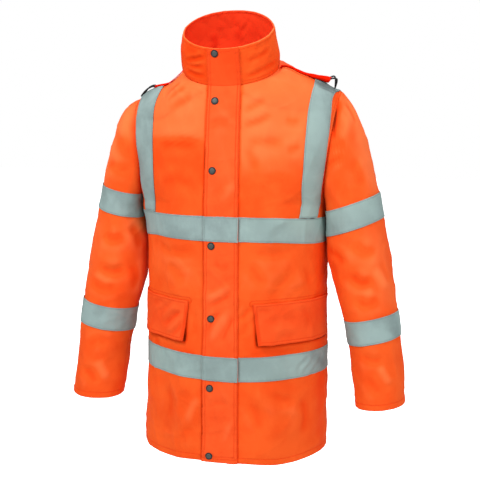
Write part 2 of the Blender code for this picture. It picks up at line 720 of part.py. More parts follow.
def add_collar(jacket):
    """A strip that stands on the neck seam and closes at the middle of the front."""
    seam = neckline(jacket.front["left"], jacket.back["left"])
    across, forward = seam[:, 0] / NECK_HALF_WIDTH, -(seam[:, 1] + BODY_BACK) / NECK_HALF_DEPTH
    turns = np.degrees(np.arctan2(across, forward))
    turns[0] = 0.0
    half = collar_points(turns, np.linspace(0.0, len(COLLAR), COLLAR_STEPS + 1))
    half[0] = seam
    normals = normals_of(half)
    normals[:, -1, 0] = 0.0
    normals[:, 0, 0] = 0.0
    normals = unit(normals)
    body_n = neckline(jacket.front_n["left"], jacket.back_n["left"])
    own = normals[0].copy()
    normals[0] = seam_normals(own, body_n)
    for side, _ in SIDES:
        edge_n = neckline(jacket.front_n[side], jacket.back_n[side])
        set_neckline(jacket.front_n[side], jacket.back_n[side], seam_normals(edge_n, own))
    draw_back(half[0], half[1], COLLAR_GAP)
    half[:, 0, 0] = FRONT_SPLIT
    # the shared column is the middle of the back, so the halves run from there to the front
    outer, inner = half[:, ::-1], (half - COLLAR_WALL * normals)[:, ::-1]
    add_halves("collar", [(outer, inner)] * 2, len(half), "orange_shell", inwards=True)


# --- what lies on them -------------------------------------------------------------------------


def add_ring_tapes(jacket, level, top):
    """A tape round the body in four pieces: one on each front, one on the storm flap, one on the back."""
    rows = rows_between(top - TAPE_WIDTH, top)[:, None]
    for side, right in SIDES:
        grid, normals = jacket.front[side], jacket.front_n[side]
        start = column_at(grid, rows[0, 0], TAPE_START_RIGHT if right else TAPE_START_LEFT)
        columns = np.concatenate([[start], np.arange(np.floor(start) + 1, PANEL_STEPS + 1)])
        points, out = on_grid(grid, rows, columns), unit(on_grid(normals, rows, columns))
        draw_back(points[:, -1], points[:, -2])
        name = f"{level}_tape_front_{side}"
        add_layer(name, points, out, SEAM_GAP, TAPE_WALL, "reflective_tape", right)
    halves = []
    for side, _ in SIDES:
        points, out = jacket.back[side][rows[:, 0]].copy(), jacket.back_n[side][rows[:, 0]]
        draw_back(points[:, -1], points[:, -2])
        halves.append(layer_of(points, out, SEAM_GAP, TAPE_WALL))
    add_halves(f"{level}_tape_back", halves, len(rows), "reflective_tape", inwards=True)


def shoulder_columns(grid, rows):
    """Fractional columns of a shoulder tape's lines: its inner edge and a tape's width from it."""
    heights, inner = np.array(SHOULDER_TAPE_INNER).T
    columns = []
    for row in rows:
        low = int(min(row, grid.shape[0] - 2))
        line = grid[low] * (1 - (row - low)) + grid[low + 1] * (row - low)
        height = np.interp(inner.mean(), line[:, 0], line[:, 2])
        x_inner = np.interp(height, heights, inner)
        run = np.concatenate([[0.0], np.linalg.norm(np.diff(line, axis=0), axis=1).cumsum()])
        numbers = np.arange(len(line))
        start = np.interp(np.interp(x_inner, line[:, 0], numbers), numbers, run)
        end = min(start + TAPE_WIDTH, run[-1] - TAPE_FROM_ARMHOLE)
        columns.append(np.interp(np.linspace(start, end, 6), run, numbers))
    return np.array(columns)


def add_shoulder_tapes(jacket):
    top = UNDER_ARMPIT_HEIGHTS.index(CHEST_TAPE_TOP)
    for side, right in SIDES:
        strips, outs = [], []
        for grid, normals in jacket.both(side):
            rows = np.arange(top, grid.shape[0]).astype(float)
            rows[0] += TAPE_BUTT
            columns = shoulder_columns(grid, rows)
            strips.append(on_grid(grid, rows[:, None], columns))
            outs.append(on_grid(normals, rows[:, None], columns))
        points = np.concatenate([strips[0], strips[1][::-1][1:]])
        out = unit(np.concatenate([outs[0], outs[1][::-1][1:]]))
        name = f"shoulder_tape_{side}"
        add_layer(name, points, out, SHOULDER_TAPE_LIFT, TAPE_WALL, "reflective_tape", right)


def add_sleeve_tapes(jacket):
    """Tapes round a sleeve between two planes square to the arm; the upper one ends near the armpit."""
    for side, right in SIDES:
        pair = (jacket.sleeve[side], jacket.sleeve_n[side])
        grid, normals = (np.concatenate([values, values[:, :1]], axis=1) for values in pair)
        numbers = np.arange(len(grid))
        for level, (height, lean) in SLEEVE_TAPES[side].items():
            closed = level == "fore"
            skip = 0 if closed else TAPE_UNDERARM_COLUMNS
            columns = np.arange(skip, grid.shape[1] - max(skip, 1) + (0 if closed else 1))
            _, xs, _, zs, *_ = zip(*SLEEVES[side])
            middle_x = np.interp(-height, -np.array(zs), xs)
            lean = np.radians(lean)
            along = (grid[..., 2] - height) * np.cos(lean) - (grid[..., 0] - middle_x) * np.sin(lean)
            low, high = (
                np.array([np.interp(w, along[:, j], numbers) for j in columns]) for w in (0.0, TAPE_WIDTH)
            )
            rows = low + (high - low) * np.linspace(0.0, 1.0, 3)[:, None]
            columns = columns[None].astype(float)
            points, out = on_grid(grid, rows, columns), unit(on_grid(normals, rows, columns))
            name = f"sleeve_tape_{level}_{side}"
            add_layer(name, points, out, TAPE_LIFT, TAPE_WALL, "reflective_tape", right, closed)


def flap_lines(heights):
    """Distances from the middle of the storm flap's lines, from its free edge to its sewn edge."""
    free = np.interp(heights, (UNDER_ARMPIT_HEIGHTS[0], -NECK_TILT), (FLAP_FREE_HEM, FLAP_FREE_TOP))
    return free[:, None] + (FLAP_SEWN_EDGE - free[:, None]) * np.linspace(0.0, 1.0, FLAP_STEPS + 1)


def storm_flap_grid():
    """Points of the front under the storm flap, from the hem to the neck seam, and their normals."""
    rows = np.concatenate([rows_at(FRONT, UNDER_ARMPIT_HEIGHTS), FLAP_UPPER_ROWS])
    level = panel_levels(FRONT, rows)
    xs = flap_lines(level[:, 2])
    turn, edge_x = level[:, 6:7], level[:, 3:4]
    shares = np.arcsin(np.abs(xs) * np.sin(turn) / edge_x) / turn
    points = np.stack([panel_points(FRONT, rows[k : k + 1], shares[k])[0] for k in range(len(rows))])
    points[..., 0] = xs
    top = flap_lines(np.array([-NECK_TILT]))[0]
    neck = neck_point(np.degrees(np.arcsin(top / NECK_HALF_WIDTH)))
    neck[:, 2] -= FLAP_BUTT
    points = np.concatenate([points, neck[None]])
    points = folded(points, normals_of(points))
    return points, normals_of(points)


def add_storm_flap():
    points, normals = storm_flap_grid()
    add_layer("storm_flap", points, normals, FLAP_LIFT, FLAP_WALL, "orange_flap")
    for level, top in (("chest", CHEST_TAPE_TOP), ("lower", LOWER_TAPE_TOP)):
        rows = rows_between(top - TAPE_WIDTH, top)
        lift = FLAP_LIFT + FLAP_WALL + SEAM_GAP
        add_layer(f"{level}_tape_flap", points[rows], normals[rows], lift, TAPE_WALL, "reflective_tape")


def collar_flap_grid():
    xs = np.linspace(FLAP_FREE_TOP, FLAP_SEWN_EDGE, FLAP_STEPS + 1)
    turns = np.degrees(np.arcsin(xs / NECK_HALF_WIDTH))
    points = collar_points(turns, np.linspace(COLLAR_FLAP_FOOT, len(COLLAR) - COLLAR_FLAP_SHORT, 7))
    return points, normals_of(points)


def add_collar_flap():
    points, normals = collar_flap_grid()
    add_layer("collar_flap", points, normals, COLLAR_FLAP_LIFT, FLAP_WALL, "orange_flap")


def add_pocket_flaps(jacket):
    heights = POCKET_TOP - POCKET_DROP * np.linspace(1.0, 0.0, 5)
    rows = np.interp(heights, UNDER_ARMPIT_HEIGHTS, np.arange(ARMPIT))[:, None]
    down = (POCKET_TOP - heights) / POCKET_DROP
    inner = POCKET_INNER_TOP + (POCKET_INNER_BOTTOM - POCKET_INNER_TOP) * down
    for side, right in SIDES:
        grid, normals = jacket.front[side], jacket.front_n[side]
        row = int(rows[0, 0])
        start = column_at(grid, row, inner)[:, None]
        whole = np.arange(np.floor(start.max()) + 1, PANEL_STEPS)
        rest = np.append(whole, POCKET_OUTER_SHARE * PANEL_STEPS)
        columns = np.hstack([start, np.broadcast_to(rest, (len(start), len(rest)))])
        points, out = on_grid(grid, rows, columns), unit(on_grid(normals, rows, columns))
        lift = (POCKET_LIFT + POCKET_FLARE * down**2)[:, None]
        name = "pocket_flap_" + side
        add_layer(name, points, out, lift, POCKET_FLAP_WALL, "orange_flap", right)


# --- snaps, straps and loops -------------------------------------------------------------------

SNAP_PROFILE = (
    # radius and height, as shares of the snap's
    (1.00, 0.00),
    (1.00, 0.45),
    (0.80, 1.00),
    (0.55, 0.70),
)


def add_snap(name, points, normals, row, lift):
    """A snap on a flap's outer face, a set way in from its free edge."""
    line = points[int(row)]
    column = SNAP_FROM_EDGE / (line[1, 0] - line[0, 0])
    centre = on_grid(points, np.array(row), np.array(column))
    axis = unit(on_grid(normals, np.array(row), np.array(column)))
    profile = [(SNAP_RADIUS * r, SNAP_HEIGHT * h) for r, h in SNAP_PROFILE]
    add_turned(name, profile, centre + (lift + SEAM_GAP) * axis, axis, "snap_metal")


def add_snaps():
    points, normals = collar_flap_grid()
    row = COLLAR_SNAP_SHARE * (len(points) - 1)
    add_snap("snap_1", points, normals, row, COLLAR_FLAP_LIFT + FLAP_WALL)
    points, normals = storm_flap_grid()
    for k, drop in enumerate(SNAP_DROPS):
        row = np.interp(-drop, points[:, 2, 2], np.arange(len(points)))
        add_snap(f"snap_{k + 2}", points, normals, row, FLAP_LIFT + FLAP_WALL)


def strap_grid(jacket, side):
    """The strap's points: along the shoulder seam, and off it to the front and to the back."""
    along = np.linspace(STRAP_START, STRAPS[side][0], STRAP_STEPS + 1) * PANEL_STEPS
    lines, outs = [], []
    for (grid, normals), order in zip(jacket.both(side), ((1.0, 0.5), (0.0, 0.5, 1.0))):
        top = grid.shape[0] - 1.0
        for off in order:
            rows = np.full(len(along), top - off * STRAP_ROWS)
            lines.append(on_grid(grid, rows, along))
            outs.append(on_grid(normals, rows, along))
    return np.stack(lines, axis=0), unit(np.stack(outs, axis=0))


def add_straps(jacket):
    for side, right in SIDES:
        points, out = strap_grid(jacket, side)
        t = np.linspace(0.0, 1.0, STRAP_STEPS + 1)
        lift = STRAP_LIFT + STRAP_RISE * np.clip(2 * t, 0.0, 1.0) + STRAPS[side][1] * t**3
        name = "shoulder_strap_" + side
        add_layer(name, points, out, lift, STRAP_WALL, "orange_flap", right)


def add_loops(jacket):
    """A cord loop from each strap's end to the armhole: out along the front, back along the back."""
    for side, right in SIDES:
        shares, off, lift = np.array(LOOPS[side]).T
        strands, outs = [], []
        for grid, normals in jacket.both(side):
            rows, columns = grid.shape[0] - 1.0 - off, shares * PANEL_STEPS
            out = unit(on_grid(normals, rows, columns))
            strands.append(on_grid(grid, rows, columns) + lift[:, None] * out)
            outs.append(out)
        points = np.concatenate([strands[0][::-1], strands[1][1:]])
        out = np.concatenate([outs[0][::-1], outs[1][1:]])
        add_cord("strap_loop_" + side, points, out, LOOP_DIAMETER, "loop_cord", right)


def clear_scene():
    for thing in list(bpy.data.objects):
        bpy.data.objects.remove(thing, do_unlink=True)


def main():
    clear_scene()
    jacket = Jacket()
    add_collar(jacket)
    add_fronts(jacket)
    add_back(jacket)
    add_sleeves(jacket)
    add_ring_tapes(jacket, "chest", CHEST_TAPE_TOP)
    add_ring_tapes(jacket, "lower", LOWER_TAPE_TOP)
    add_shoulder_tapes(jacket)
    add_sleeve_tapes(jacket)
    add_storm_flap()
    add_collar_flap()
    add_pocket_flaps(jacket)
    add_snaps()
    add_straps(jacket)
    add_loops(jacket)


main()
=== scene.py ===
"""Looks of a hi-vis work jacket, built on its solid model.

Every piece of cloth is a thin closed shell on its solid's own form: a grid of points read much finer
from the same tables, moved along its normals into folds and creases, and given a wall. Metres, +Z up,
the front faces -Y and the wearer's left is +X. Tables give the cloth in body coordinates, whose Y = 0
is the middle of the body's depth; place() moves them to the origin at the neck.
"""

import math

import bpy
import mathutils
import numpy as np
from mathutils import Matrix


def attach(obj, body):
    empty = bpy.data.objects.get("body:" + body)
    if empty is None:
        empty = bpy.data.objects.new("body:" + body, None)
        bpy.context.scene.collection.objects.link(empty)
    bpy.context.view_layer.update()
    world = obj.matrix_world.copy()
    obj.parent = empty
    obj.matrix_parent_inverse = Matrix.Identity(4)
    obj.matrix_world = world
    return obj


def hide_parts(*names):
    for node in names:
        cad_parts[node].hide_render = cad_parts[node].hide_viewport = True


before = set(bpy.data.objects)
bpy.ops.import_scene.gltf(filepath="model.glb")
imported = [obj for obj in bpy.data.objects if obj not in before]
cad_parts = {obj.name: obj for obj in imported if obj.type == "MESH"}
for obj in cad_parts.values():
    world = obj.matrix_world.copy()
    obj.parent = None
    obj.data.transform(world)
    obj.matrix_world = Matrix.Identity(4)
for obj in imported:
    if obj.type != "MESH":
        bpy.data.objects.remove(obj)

bl_info = {
    "name": "Hi-vis work jacket",
    "version": (1, 0, 0),
    "blender": (4, 5, 0),
    "location": "3D View > Sidebar > Jacket",
    "description": "Builds the looks of a hi-vis work jacket piece by piece",
    "category": "Object",
}

# --- driving dimensions ------------------------------------------------------------------------

SHELL_WALL = 0.0025
COLLAR_WALL = 0.0030
FLAP_WALL = 0.0026
POCKET_FLAP_WALL = 0.0022
TAPE_WALL = 0.0010
SEAM_GAP = 0.0003
TAPE_WIDTH = 0.050
BODY_BACK = 0.055  # how far the middle of the body's depth lies behind the origin

NECK_HALF_WIDTH = 0.0965
NECK_HALF_DEPTH = 0.0780
NECK_TILT = 0.0335
FRONT_SPLIT = 0.0004  # how far each front ends from the middle

HEM = -0.787
CHEST_TAPE_TOP = -0.285
LOWER_TAPE_TOP = -0.567
POCKET_TOP = -0.459
POCKET_DROP = 0.084
POCKET_INNER_TOP = 0.0660
POCKET_INNER_BOTTOM = 0.0750
POCKET_OUTER_SHARE = 0.985
POCKET_LIFT = 0.0010
POCKET_FLARE = 0.0045

FLAP_FREE_TOP = -0.0268
FLAP_FREE_HEM = -0.0372
FLAP_SEWN_EDGE = 0.0375
FLAP_LIFT = 0.0019
FLAP_BUTT = 0.0004
COLLAR_FLAP_LIFT = 0.0008

SNAP_RADIUS = 0.0075
SNAP_HEIGHT = 0.0024
SNAP_FROM_EDGE = 0.0160
SNAP_DROPS = (0.068, 0.200, 0.344, 0.490, 0.633, 0.773)
COLLAR_SNAP_SHARE = 0.88

STRAP_START = 0.03
STRAP_LIFT = 0.0006
STRAP_CLOTH = 0.0009
LOOP_DIAMETER = 0.0032
STRAP_INSIDE_SHARE = 1 - STRAP_CLOTH / 0.012  # a strap's width inside, as a share of that outside
CORD_END_RADIUS = 1e-5  # its ends close to a point

RIGHT_DROOP = 0.019  # how much lower the right shoulder's tip hangs
RIGHT_DIP = 0.009  # how much lower the right shoulder lies between neck and tip
LEFT_RISE = 0.0065  # how much higher the left shoulder lies between neck and tip
NECK_RISE = 0.006  # how much higher the left shoulder lies beside the neck
RIGHT_SPREAD = 0.0075  # how far out the right side swings at the hem
RIGHT_PULL = 0.014  # how far the right sleeve pulls its armhole out below
BODY_HALF_WIDTH = 0.19
# where those lie on the shoulder: distance from the middle, and reach
RIGHT_DIP_PLACE = (0.132, 0.026)
LEFT_RISE_PLACE = (0.166, 0.036)
NECK_RISE_PLACE = (0.117, 0.022)
BACK_DIP_PLACE = (0.115, 0.022)

TAPE_START_LEFT = FLAP_SEWN_EDGE + 0.0010
TAPE_START_RIGHT = 0.0060
TAPE_LIFT = 0.0007
SHOULDER_TAPE_LIFT = 0.0009
TAPE_FROM_ARMHOLE = 0.0020
TAPE_BUTT = 0.0010
TAPE_UNDERARM_SHARE = 0.030

# --- tables ------------------------------------------------------------------------------------

FRONT = (
    # in millimetres and degrees:
    # level, middle y, z, turn on the neck seam, edge x, y, z, turn of the arc, sag
    ("hem", -160, -787, None, 190, 0, -787, 90, 0),
    ("skirt", -159, -700, None, 188.5, 0, -700, 90, 0),
    ("lower_tape", -157.5, -592, None, 187, 0, -592, 90, 0),
    ("pocket", -156, -490, None, 186.3, 0, -490, 90, 0),
    ("waist", -155.5, -395, None, 186.3, 0, -395, 90, 0),
    ("chest_tape", -155, -310, None, 187, 0, -310, 90, 0),
    ("armpit", -154, -255, None, 188, 0, -270, 88, 0),
    ("armhole_low", -151, -205, None, 187, -46, -240, 76, 4),
    ("armhole_mid", -146.5, -145, None, 193, -60, -190, 66, 8),
    ("armhole_high", -140, -85, None, 202, -58.5, -135, 60, 14),
    ("neck_front", -133, -33.5, 0, 209, -45, -88, 56, 20),
    ("neck_side", None, None, 47, 213, -21, -60, 42, 10),
    ("shoulder", None, None, 89, 213.5, 5, -48, 16, 0),
)

BACK = (
    ("hem", 133, -787, None, 190, 0, -787, 90, 0),
    ("skirt", 130, -700, None, 188.5, 0, -700, 90, 0),
    ("lower_tape", 126, -592, None, 187, 0, -592, 90, 0),
    ("pocket", 123, -490, None, 186.3, 0, -490, 90, 0),
    ("waist", 123, -395, None, 186.3, 0, -395, 90, 0),
    ("chest_tape", 126, -310, None, 187, 0, -310, 90, 0),
    ("armpit", 129, -255, None, 188, 0, -270, 88, 0),
    ("armhole_low", 131, -198, None, 189, 44, -240, 76, 2),
    ("armhole_mid", 127, -134, None, 196, 62, -190, 66, 2),
    ("armhole_high", 112, -67, None, 205, 64, -135, 58, 4),
    ("neck_back", 23, 33.5, 180, 211, 50, -88, 50, 6),
    ("neck_side", None, None, 134, 213.5, 28, -61, 36, 4),
    ("shoulder", None, None, 89, 213.5, 5, -48, 16, 0),
)

SLEEVES = {
    "left": (
        # level       x       y        z       half_width  half_depth  lean
        ("biceps",   0.2510, -0.0080, -0.3300, 0.0585, 0.0690, 14),
        ("elbow",    0.2635, -0.0130, -0.4100, 0.0625, 0.0690, 13),
        ("forearm",  0.2820, -0.0210, -0.5000, 0.0580, 0.0640, 12),
        ("wrist",    0.2950, -0.0260, -0.5900, 0.0545, 0.0600, 9),
        ("cuff",     0.3055, -0.0290, -0.6790, 0.0510, 0.0560, 6),
    ),
    "right": (
        ("biceps",   0.2490, -0.0080, -0.3300, 0.0570, 0.0690, 14),
        ("elbow",    0.2600, -0.0130, -0.4150, 0.0625, 0.0690, 12),
        ("forearm",  0.2775, -0.0210, -0.5100, 0.0600, 0.0640, 11),
        ("wrist",    0.2930, -0.0260, -0.6050, 0.0560, 0.0600, 8),
        ("cuff",     0.3060, -0.0290, -0.6950, 0.0535, 0.0560, 3),
    ),
}

COLLAR = (
    # level    forward  half_width  half_depth  rise_front  rise_back
    ("lower",  0.0080,  0.0962,     0.0750,     0.0260,     0.0280),
    ("upper",  0.0175,  0.0940,     0.0700,     0.0500,     0.0550),
    ("rim",    0.0265,  0.0910,     0.0655,     0.0720,     0.0800),
)

SHOULDER_TAPE_INNER = (
    # height, distance of the tape's inner edge from the middle
    (-0.283, 0.1460),
    (-0.200, 0.1510),
    (-0.085, 0.1560),
    (-0.030, 0.1630),
)

SLEEVE_TAPES = {
    # the lower edge's height on the sleeve's middle, and how steeply the ring rises outwards
    "left": {"upper": (-0.3155, 20.0), "fore": (-0.5440, 12.0)},
    "right": {"upper": (-0.3010, 12.0), "fore": (-0.5440, 11.0)},
}

STRAPS = {
    # the free end's share of the shoulder seam, how far it stands off, the height of its open end,
    # its thickness at the neck, and how far it reaches down the front there and at its end
    "left": (0.750, 0.0042, 0.0122, 0.0018, 0.0000, 0.0050),
    "right": (0.590, 0.0016, 0.0048, 0.0014, 0.0000, 0.0030),
}
# how far each strap reaches down the back at the neck, and from halfway along it to its end
STRAP_BACK = {"left": (0.014, 0.022), "right": (0.012, 0.022)}

LOOPS = {
    # half of a loop: share of the shoulder seam, rows it lies off the seam, height over the shoulder
    "left": (
        (0.728, 0.00, 0.0110), (0.745, 0.13, 0.0160), (0.782, 0.18, 0.0212), (0.818, 0.18, 0.0214),
        (0.848, 0.18, 0.0165), (0.870, 0.18, 0.0095), (0.886, 0.18, 0.0034),
    ),
    "right": (
        (0.556, 0.00, 0.0040), (0.572, 0.10, 0.0060), (0.620, 0.14, 0.0078), (0.700, 0.15, 0.0074),
        (0.780, 0.15, 0.0056), (0.860, 0.15, 0.0038), (0.915, 0.15, 0.0026),
    ),
}

FOLDS = (
    # in millimetres: from x, y, z to x, y, z, reach, depth
    (120, -120, -360, 140, -110, -780, 30, -3),
    (70, -150, -640, 85, -150, -800, 30, 3),
    (-130, -110, -350, -120, -120, -780, 30, -3),
    (-75, -150, -650, -85, -150, -800, 28, 3),
    (80, 120, -350, 95, 120, -800, 35, -4),
    (-85, 120, -380, -75, 120, -800, 35, -4),
    (0, 130, -450, 10, 130, -800, 40, 4),
    (215, -60, -400, 300, -100, -440, 16, -3.5),
    (225, 30, -430, 330, 20, -400, 18, -3.5),
    (-215, -60, -410, -300, -100, -440, 16, -3.5),
    (-225, 30, -420, -330, 20, -400, 18, -3.5),
)

CAPS = {
    # how the sleeve leaves the armhole at the shoulder, and how far it keeps that direction
    "left": (0.74, -0.67, 0.80),
    "right": (0.92, -0.39, 0.66),
}
CAP_PIT = np.array([0.16, 0.0, -0.98])  # how it leaves the armhole at the armpit
CAP_SIDE = np.array([0.0, -0.28, 0.0])  # how much it leans forwards in front and backwards behind
LAST_SECTION_LENGTH = 0.09  # from a sleeve's wrist to its cuff

CREASES = {
    # in millimetres: the points each runs through, x, y, z one after another, its width and its
    # depth; soft troughs with a low bank on either side, or ridges where the depth is below nothing
    "body": (
        (-133, -88, -50, -111, -99, -40, -88, -105, -27, 6, 1.2),
        (-122, -106, -63, -95, -115, -46, -71, -121, -36, 7, 1.1),
        (-116, -112, -81, -83, -123, -64, -55, -129, -52, 9, 0.9),
        (-143, -107, -149, -89, -130, -144, -38, -143, -143, 11, 1.3),
        (42, -135, -83, 66, -128, -71, 89, -121, -60, 8, 1),
        (40, -139, -110, 67, -132, -101, 102, -117, -82, 9, 1.1),
        (43, -142, -142, 81, -132, -138, 128, -115, -143, 11, 1),
        (51, -141, -148, 62, -140, -168, 74, -139, -197, 8, 0.8),
        (120, -111, -94, 135, -105, -102, 150, -96, -97, 8, 1),
        (125, -117, -160, 141, -109, -151, 152, -102, -146, 8, 1.2),
        (82, -138, -225, 107, -128, -214, 136, -112, -222, 11, 0.9),
        (-134, -112, -235, -94, -133, -220, -45, -148, -228, 11, 0.9),
        (53, -149, -375, 71, -144, -398, 90, -136, -428, 10, 1.1),
        (93, -134, -456, 118, -117, -422, 142, -99, -391, 11, 1.1),
        (155, -86, -382, 164, -74, -416, 163, -76, -448, 10, 1),
        (52, -149, -352, 97, -131, -360, 149, -93, -358, 9, 0.9),
        (-144, -96, -361, -91, -136, -363, -40, -152, -352, 9, 0.9),
        (-122, -115, -389, -95, -133, -404, -76, -142, -430, 10, 0.9),
        (-63, -147, -468, -54, -150, -501, -59, -149, -543, 8, 1.1),
        (41, -152, -495, 53, -149, -477, 61, -147, -463, 6, 1.3),
        (44, -152, -528, 51, -150, -507, 59, -148, -491, 6, 1),
        (-130, -113, -649, -111, -127, -674, -122, -120, -720, 11, 1.2),
        (-77, -149, -715, -58, -153, -678, -41, -155, -645, 11, -1.2),
        (-96, -140, -754, -68, -151, -730, -41, -156, -735, 10, 0.9),
        (50, -154, -640, 73, -149, -674, 85, -145, -729, 12, 1.1),
        (152, -91, -648, 161, -82, -698, 154, -91, -749, 14, 1.5),
        (99, -135, -640, 123, -116, -660, 145, -98, -655, 10, 0.9),
        (152, -91, -615, 167, -71, -594, 179, -46, -570, 4.5, 1.1),
        (163, -78, -624, 176, -52, -603, 185, -21, -581, 4.5, 1.3),
        (140, -101, -609, 156, -85, -589, 171, -64, -575, 5, 0.8),
        (-166, -78, -580, -159, -87, -603, -167, -78, -636, 4, 1),
        # on the back
        (-140, 100, -300, -105, 118, -352, -60, 125, -385, 12, 1.6),
        (140, 100, -310, 110, 115, -356, 66, 125, -400, 12, 1.5),
        (-100, 110, -120, -60, 122, -150, -20, 126, -162, 12, 1.2),
        (110, 108, -130, 70, 120, -155, 30, 126, -170, 12, 1.2),
        (-165, 60, -250, -140, 90, -232, -110, 105, -224, 9, 1.4),
        (168, 58, -245, 142, 88, -230, 112, 104, -226, 9, 1.4),
        (-60, 122, -430, -30, 124, -470, 12, 122, -490, 12, 1.2),
        (120, 100, -440, 98, 110, -500, 100, 110, -555, 12, 1.3),
        (-130, 96, -650, -112, 106, -700, -118, 104, -752, 13, 1.4),
        (40, 128, -650, 52, 127, -705, 44, 130, -760, 13, 1.3),
        (-30, 128, -655, -18, 129, -700, -26, 131, -745, 10, -1.2),
        # at the sides
        (182, -30, -330, 186, 12, -348, 178, 52, -340, 9, 1.4),
        (184, -20, -420, 186, 20, -445, 176, 60, -438, 10, 1.3),
        (-184, -25, -340, -186, 15, -360, -177, 55, -350, 9, 1.4),
        (-188, -20, -470, -189, 18, -492, -178, 60, -488, 10, 1.2),
    ),
    "flap": (
        (-28, -154, -454, 2, -156, -436, 32, -153, -417, 6, -1.2),
        (-25, -154, -472, 4, -156, -454, 32, -153, -435, 6, 1),
        (-24, -156, -545, 0, -156, -507, 26, -154, -461, 7, -1.3),
        (-28, -155, -523, -13, -156, -495, 4, -156, -468, 6, 1.1),
        (6, -157, -545, 19, -155, -510, 32, -154, -477, 6, 1),
        (-2, -154, -265, 16, -153, -242, 30, -150, -215, 8, -1),
        (6, -160, -751, 18, -159, -717, 31, -157, -685, 7, -0.9),
        (-14, -155, -376, 6, -155, -388, 26, -154, -381, 7, 0.8),
        (-21, -142, -115, -1, -142, -103, 22, -141, -106, 8, 0.8),
        (-24, -157, -675, -3, -158, -661, 22, -158, -665, 8, 0.8),
    ),
    "sleeve": (
        (-253, -24, -130, -227, -61, -159, -205, -65, -184, 12, 1.3),
        (-270, -42, -196, -234, -69, -207, -204, -66, -212, 10, 1.1),
        (-215, -63, -322, -204, -48, -349, -200, -36, -381, 10, 1.8),
        (-269, -74, -339, -251, -78, -354, -225, -70, -346, 10, 1.4),
        (-283, -76, -403, -254, -78, -422, -223, -65, -412, 10, 1.8),
        (-304, -69, -443, -270, -83, -458, -238, -76, -451, 9, 1.5),
        (-218, -60, -403, -209, -50, -434, -217, -54, -468, 9, 1.4),
        (-309, -83, -586, -284, -86, -568, -262, -78, -582, 9, 1.3),
        (-290, -86, -607, -275, -81, -634, -265, -72, -660, 11, -1.3),
        (-324, -79, -630, -303, -85, -643, -290, -84, -669, 10, 1.2),
        (212, -31, -69, 208, -49, -96, 202, -58, -134, 6, 2),
        (221, -18, -66, 238, -19, -88, 250, -21, -112, 6, 1.2),
        (226, -34, -87, 230, -47, -112, 222, -61, -143, 10, -1.2),
        (194, -61, -195, 211, -67, -178, 233, -65, -170, 7, 1.6),
        (198, -61, -161, 214, -63, -151, 235, -58, -146, 7, 1.2),
        (242, -63, -178, 258, -59, -201, 266, -61, -233, 10, 1.2),
        (199, -32, -358, 225, -69, -369, 236, -73, -398, 10, 1.6),
        (251, -77, -337, 274, -76, -358, 298, -59, -352, 10, 1.3),
        (246, -78, -397, 268, -79, -418, 296, -73, -414, 10, 1.8),
        (261, -82, -446, 281, -83, -461, 308, -71, -450, 10, 1.5),
        (289, -73, -388, 306, -65, -411, 317, -59, -437, 10, -1.2),
        (272, -82, -562, 296, -86, -575, 320, -78, -570, 9, 1.3),
        (309, -84, -581, 323, -79, -609, 335, -71, -626, 8, -1.4),
        (282, -84, -607, 301, -86, -630, 318, -83, -645, 10, 1.2),
        # on the backs and outer sides of the sleeves
        (300, 10, -330, 285, 45, -352, 250, 62, -350, 10, 1.5),
        (322, 0, -420, 300, 42, -440, 262, 55, -432, 10, 1.8),
        (318, 15, -470, 290, 42, -488, 258, 45, -478, 9, 1.4),
        (340, -10, -560, 322, 22, -580, 292, 34, -575, 10, 1.2),
        (250, 30, -110, 244, 52, -160, 240, 62, -205, 12, 1.3),
        (-298, 12, -335, -280, 46, -360, -246, 62, -355, 10, 1.5),
        (-320, 5, -430, -296, 42, -452, -258, 55, -441, 10, 1.8),
        (-316, 12, -490, -288, 42, -506, -256, 44, -494, 9, 1.4),
        (-340, -12, -580, -320, 22, -598, -292, 34, -590, 10, 1.2),
        (-250, 30, -130, -244, 52, -180, -240, 62, -220, 12, 1.3),
    ),
    "collar": (
        (-29, -140, 24, -52, -130, 18, -79, -108, 16, 4.5, 1.5),
        (-35, -135, 5, -53, -127, 3, -80, -105, 8, 4, 1),
        (-32, -132, -16, -52, -124, -13, -78, -105, -2, 4.5, 1.5),
        (40, -129, -18, 62, -118, -10, 84, -98, 3, 96, -64, 16, 4.5, 1.4),
        (45, -133, 13, 69, -119, 22, 90, -92, 43, 5.5, 1.3),
        (56, -130, 32, 76, -116, 41, 90, -92, 58, 4, 0.9),
        # round the back
        (-60, 5, 30, -50, 2, 52, -58, -8, 74, 8, 1.2),
        (50, 12, 28, 56, 0, 56, 48, -4, 80, 8, 1.2),
        (6, 20, 50, 0, 10, 78, 8, 0, 100, 8, 1),
    ),
    "pocket": (
        (-140, -102, -511, -115, -121, -488, -88, -137, -467, 6, -1.6),
        (-131, -109, -523, -107, -127, -501, -78, -142, -479, 5, 1.4),
        (-126, -113, -537, -99, -132, -514, -72, -144, -483, 6, -1.6),
        (-107, -127, -541, -91, -137, -523, -77, -142, -504, 5, 1.2),
        (-159, -85, -484, -140, -102, -471, -123, -115, -469, 6, 1.2),
        (71, -144, -475, 86, -138, -471, 101, -129, -481, 7, 1.1),
        (95, -134, -521, 122, -114, -511, 150, -91, -520, 9, -1.2),
        (150, -91, -470, 163, -75, -494, 167, -70, -523, 8, 1.1),
    ),
}

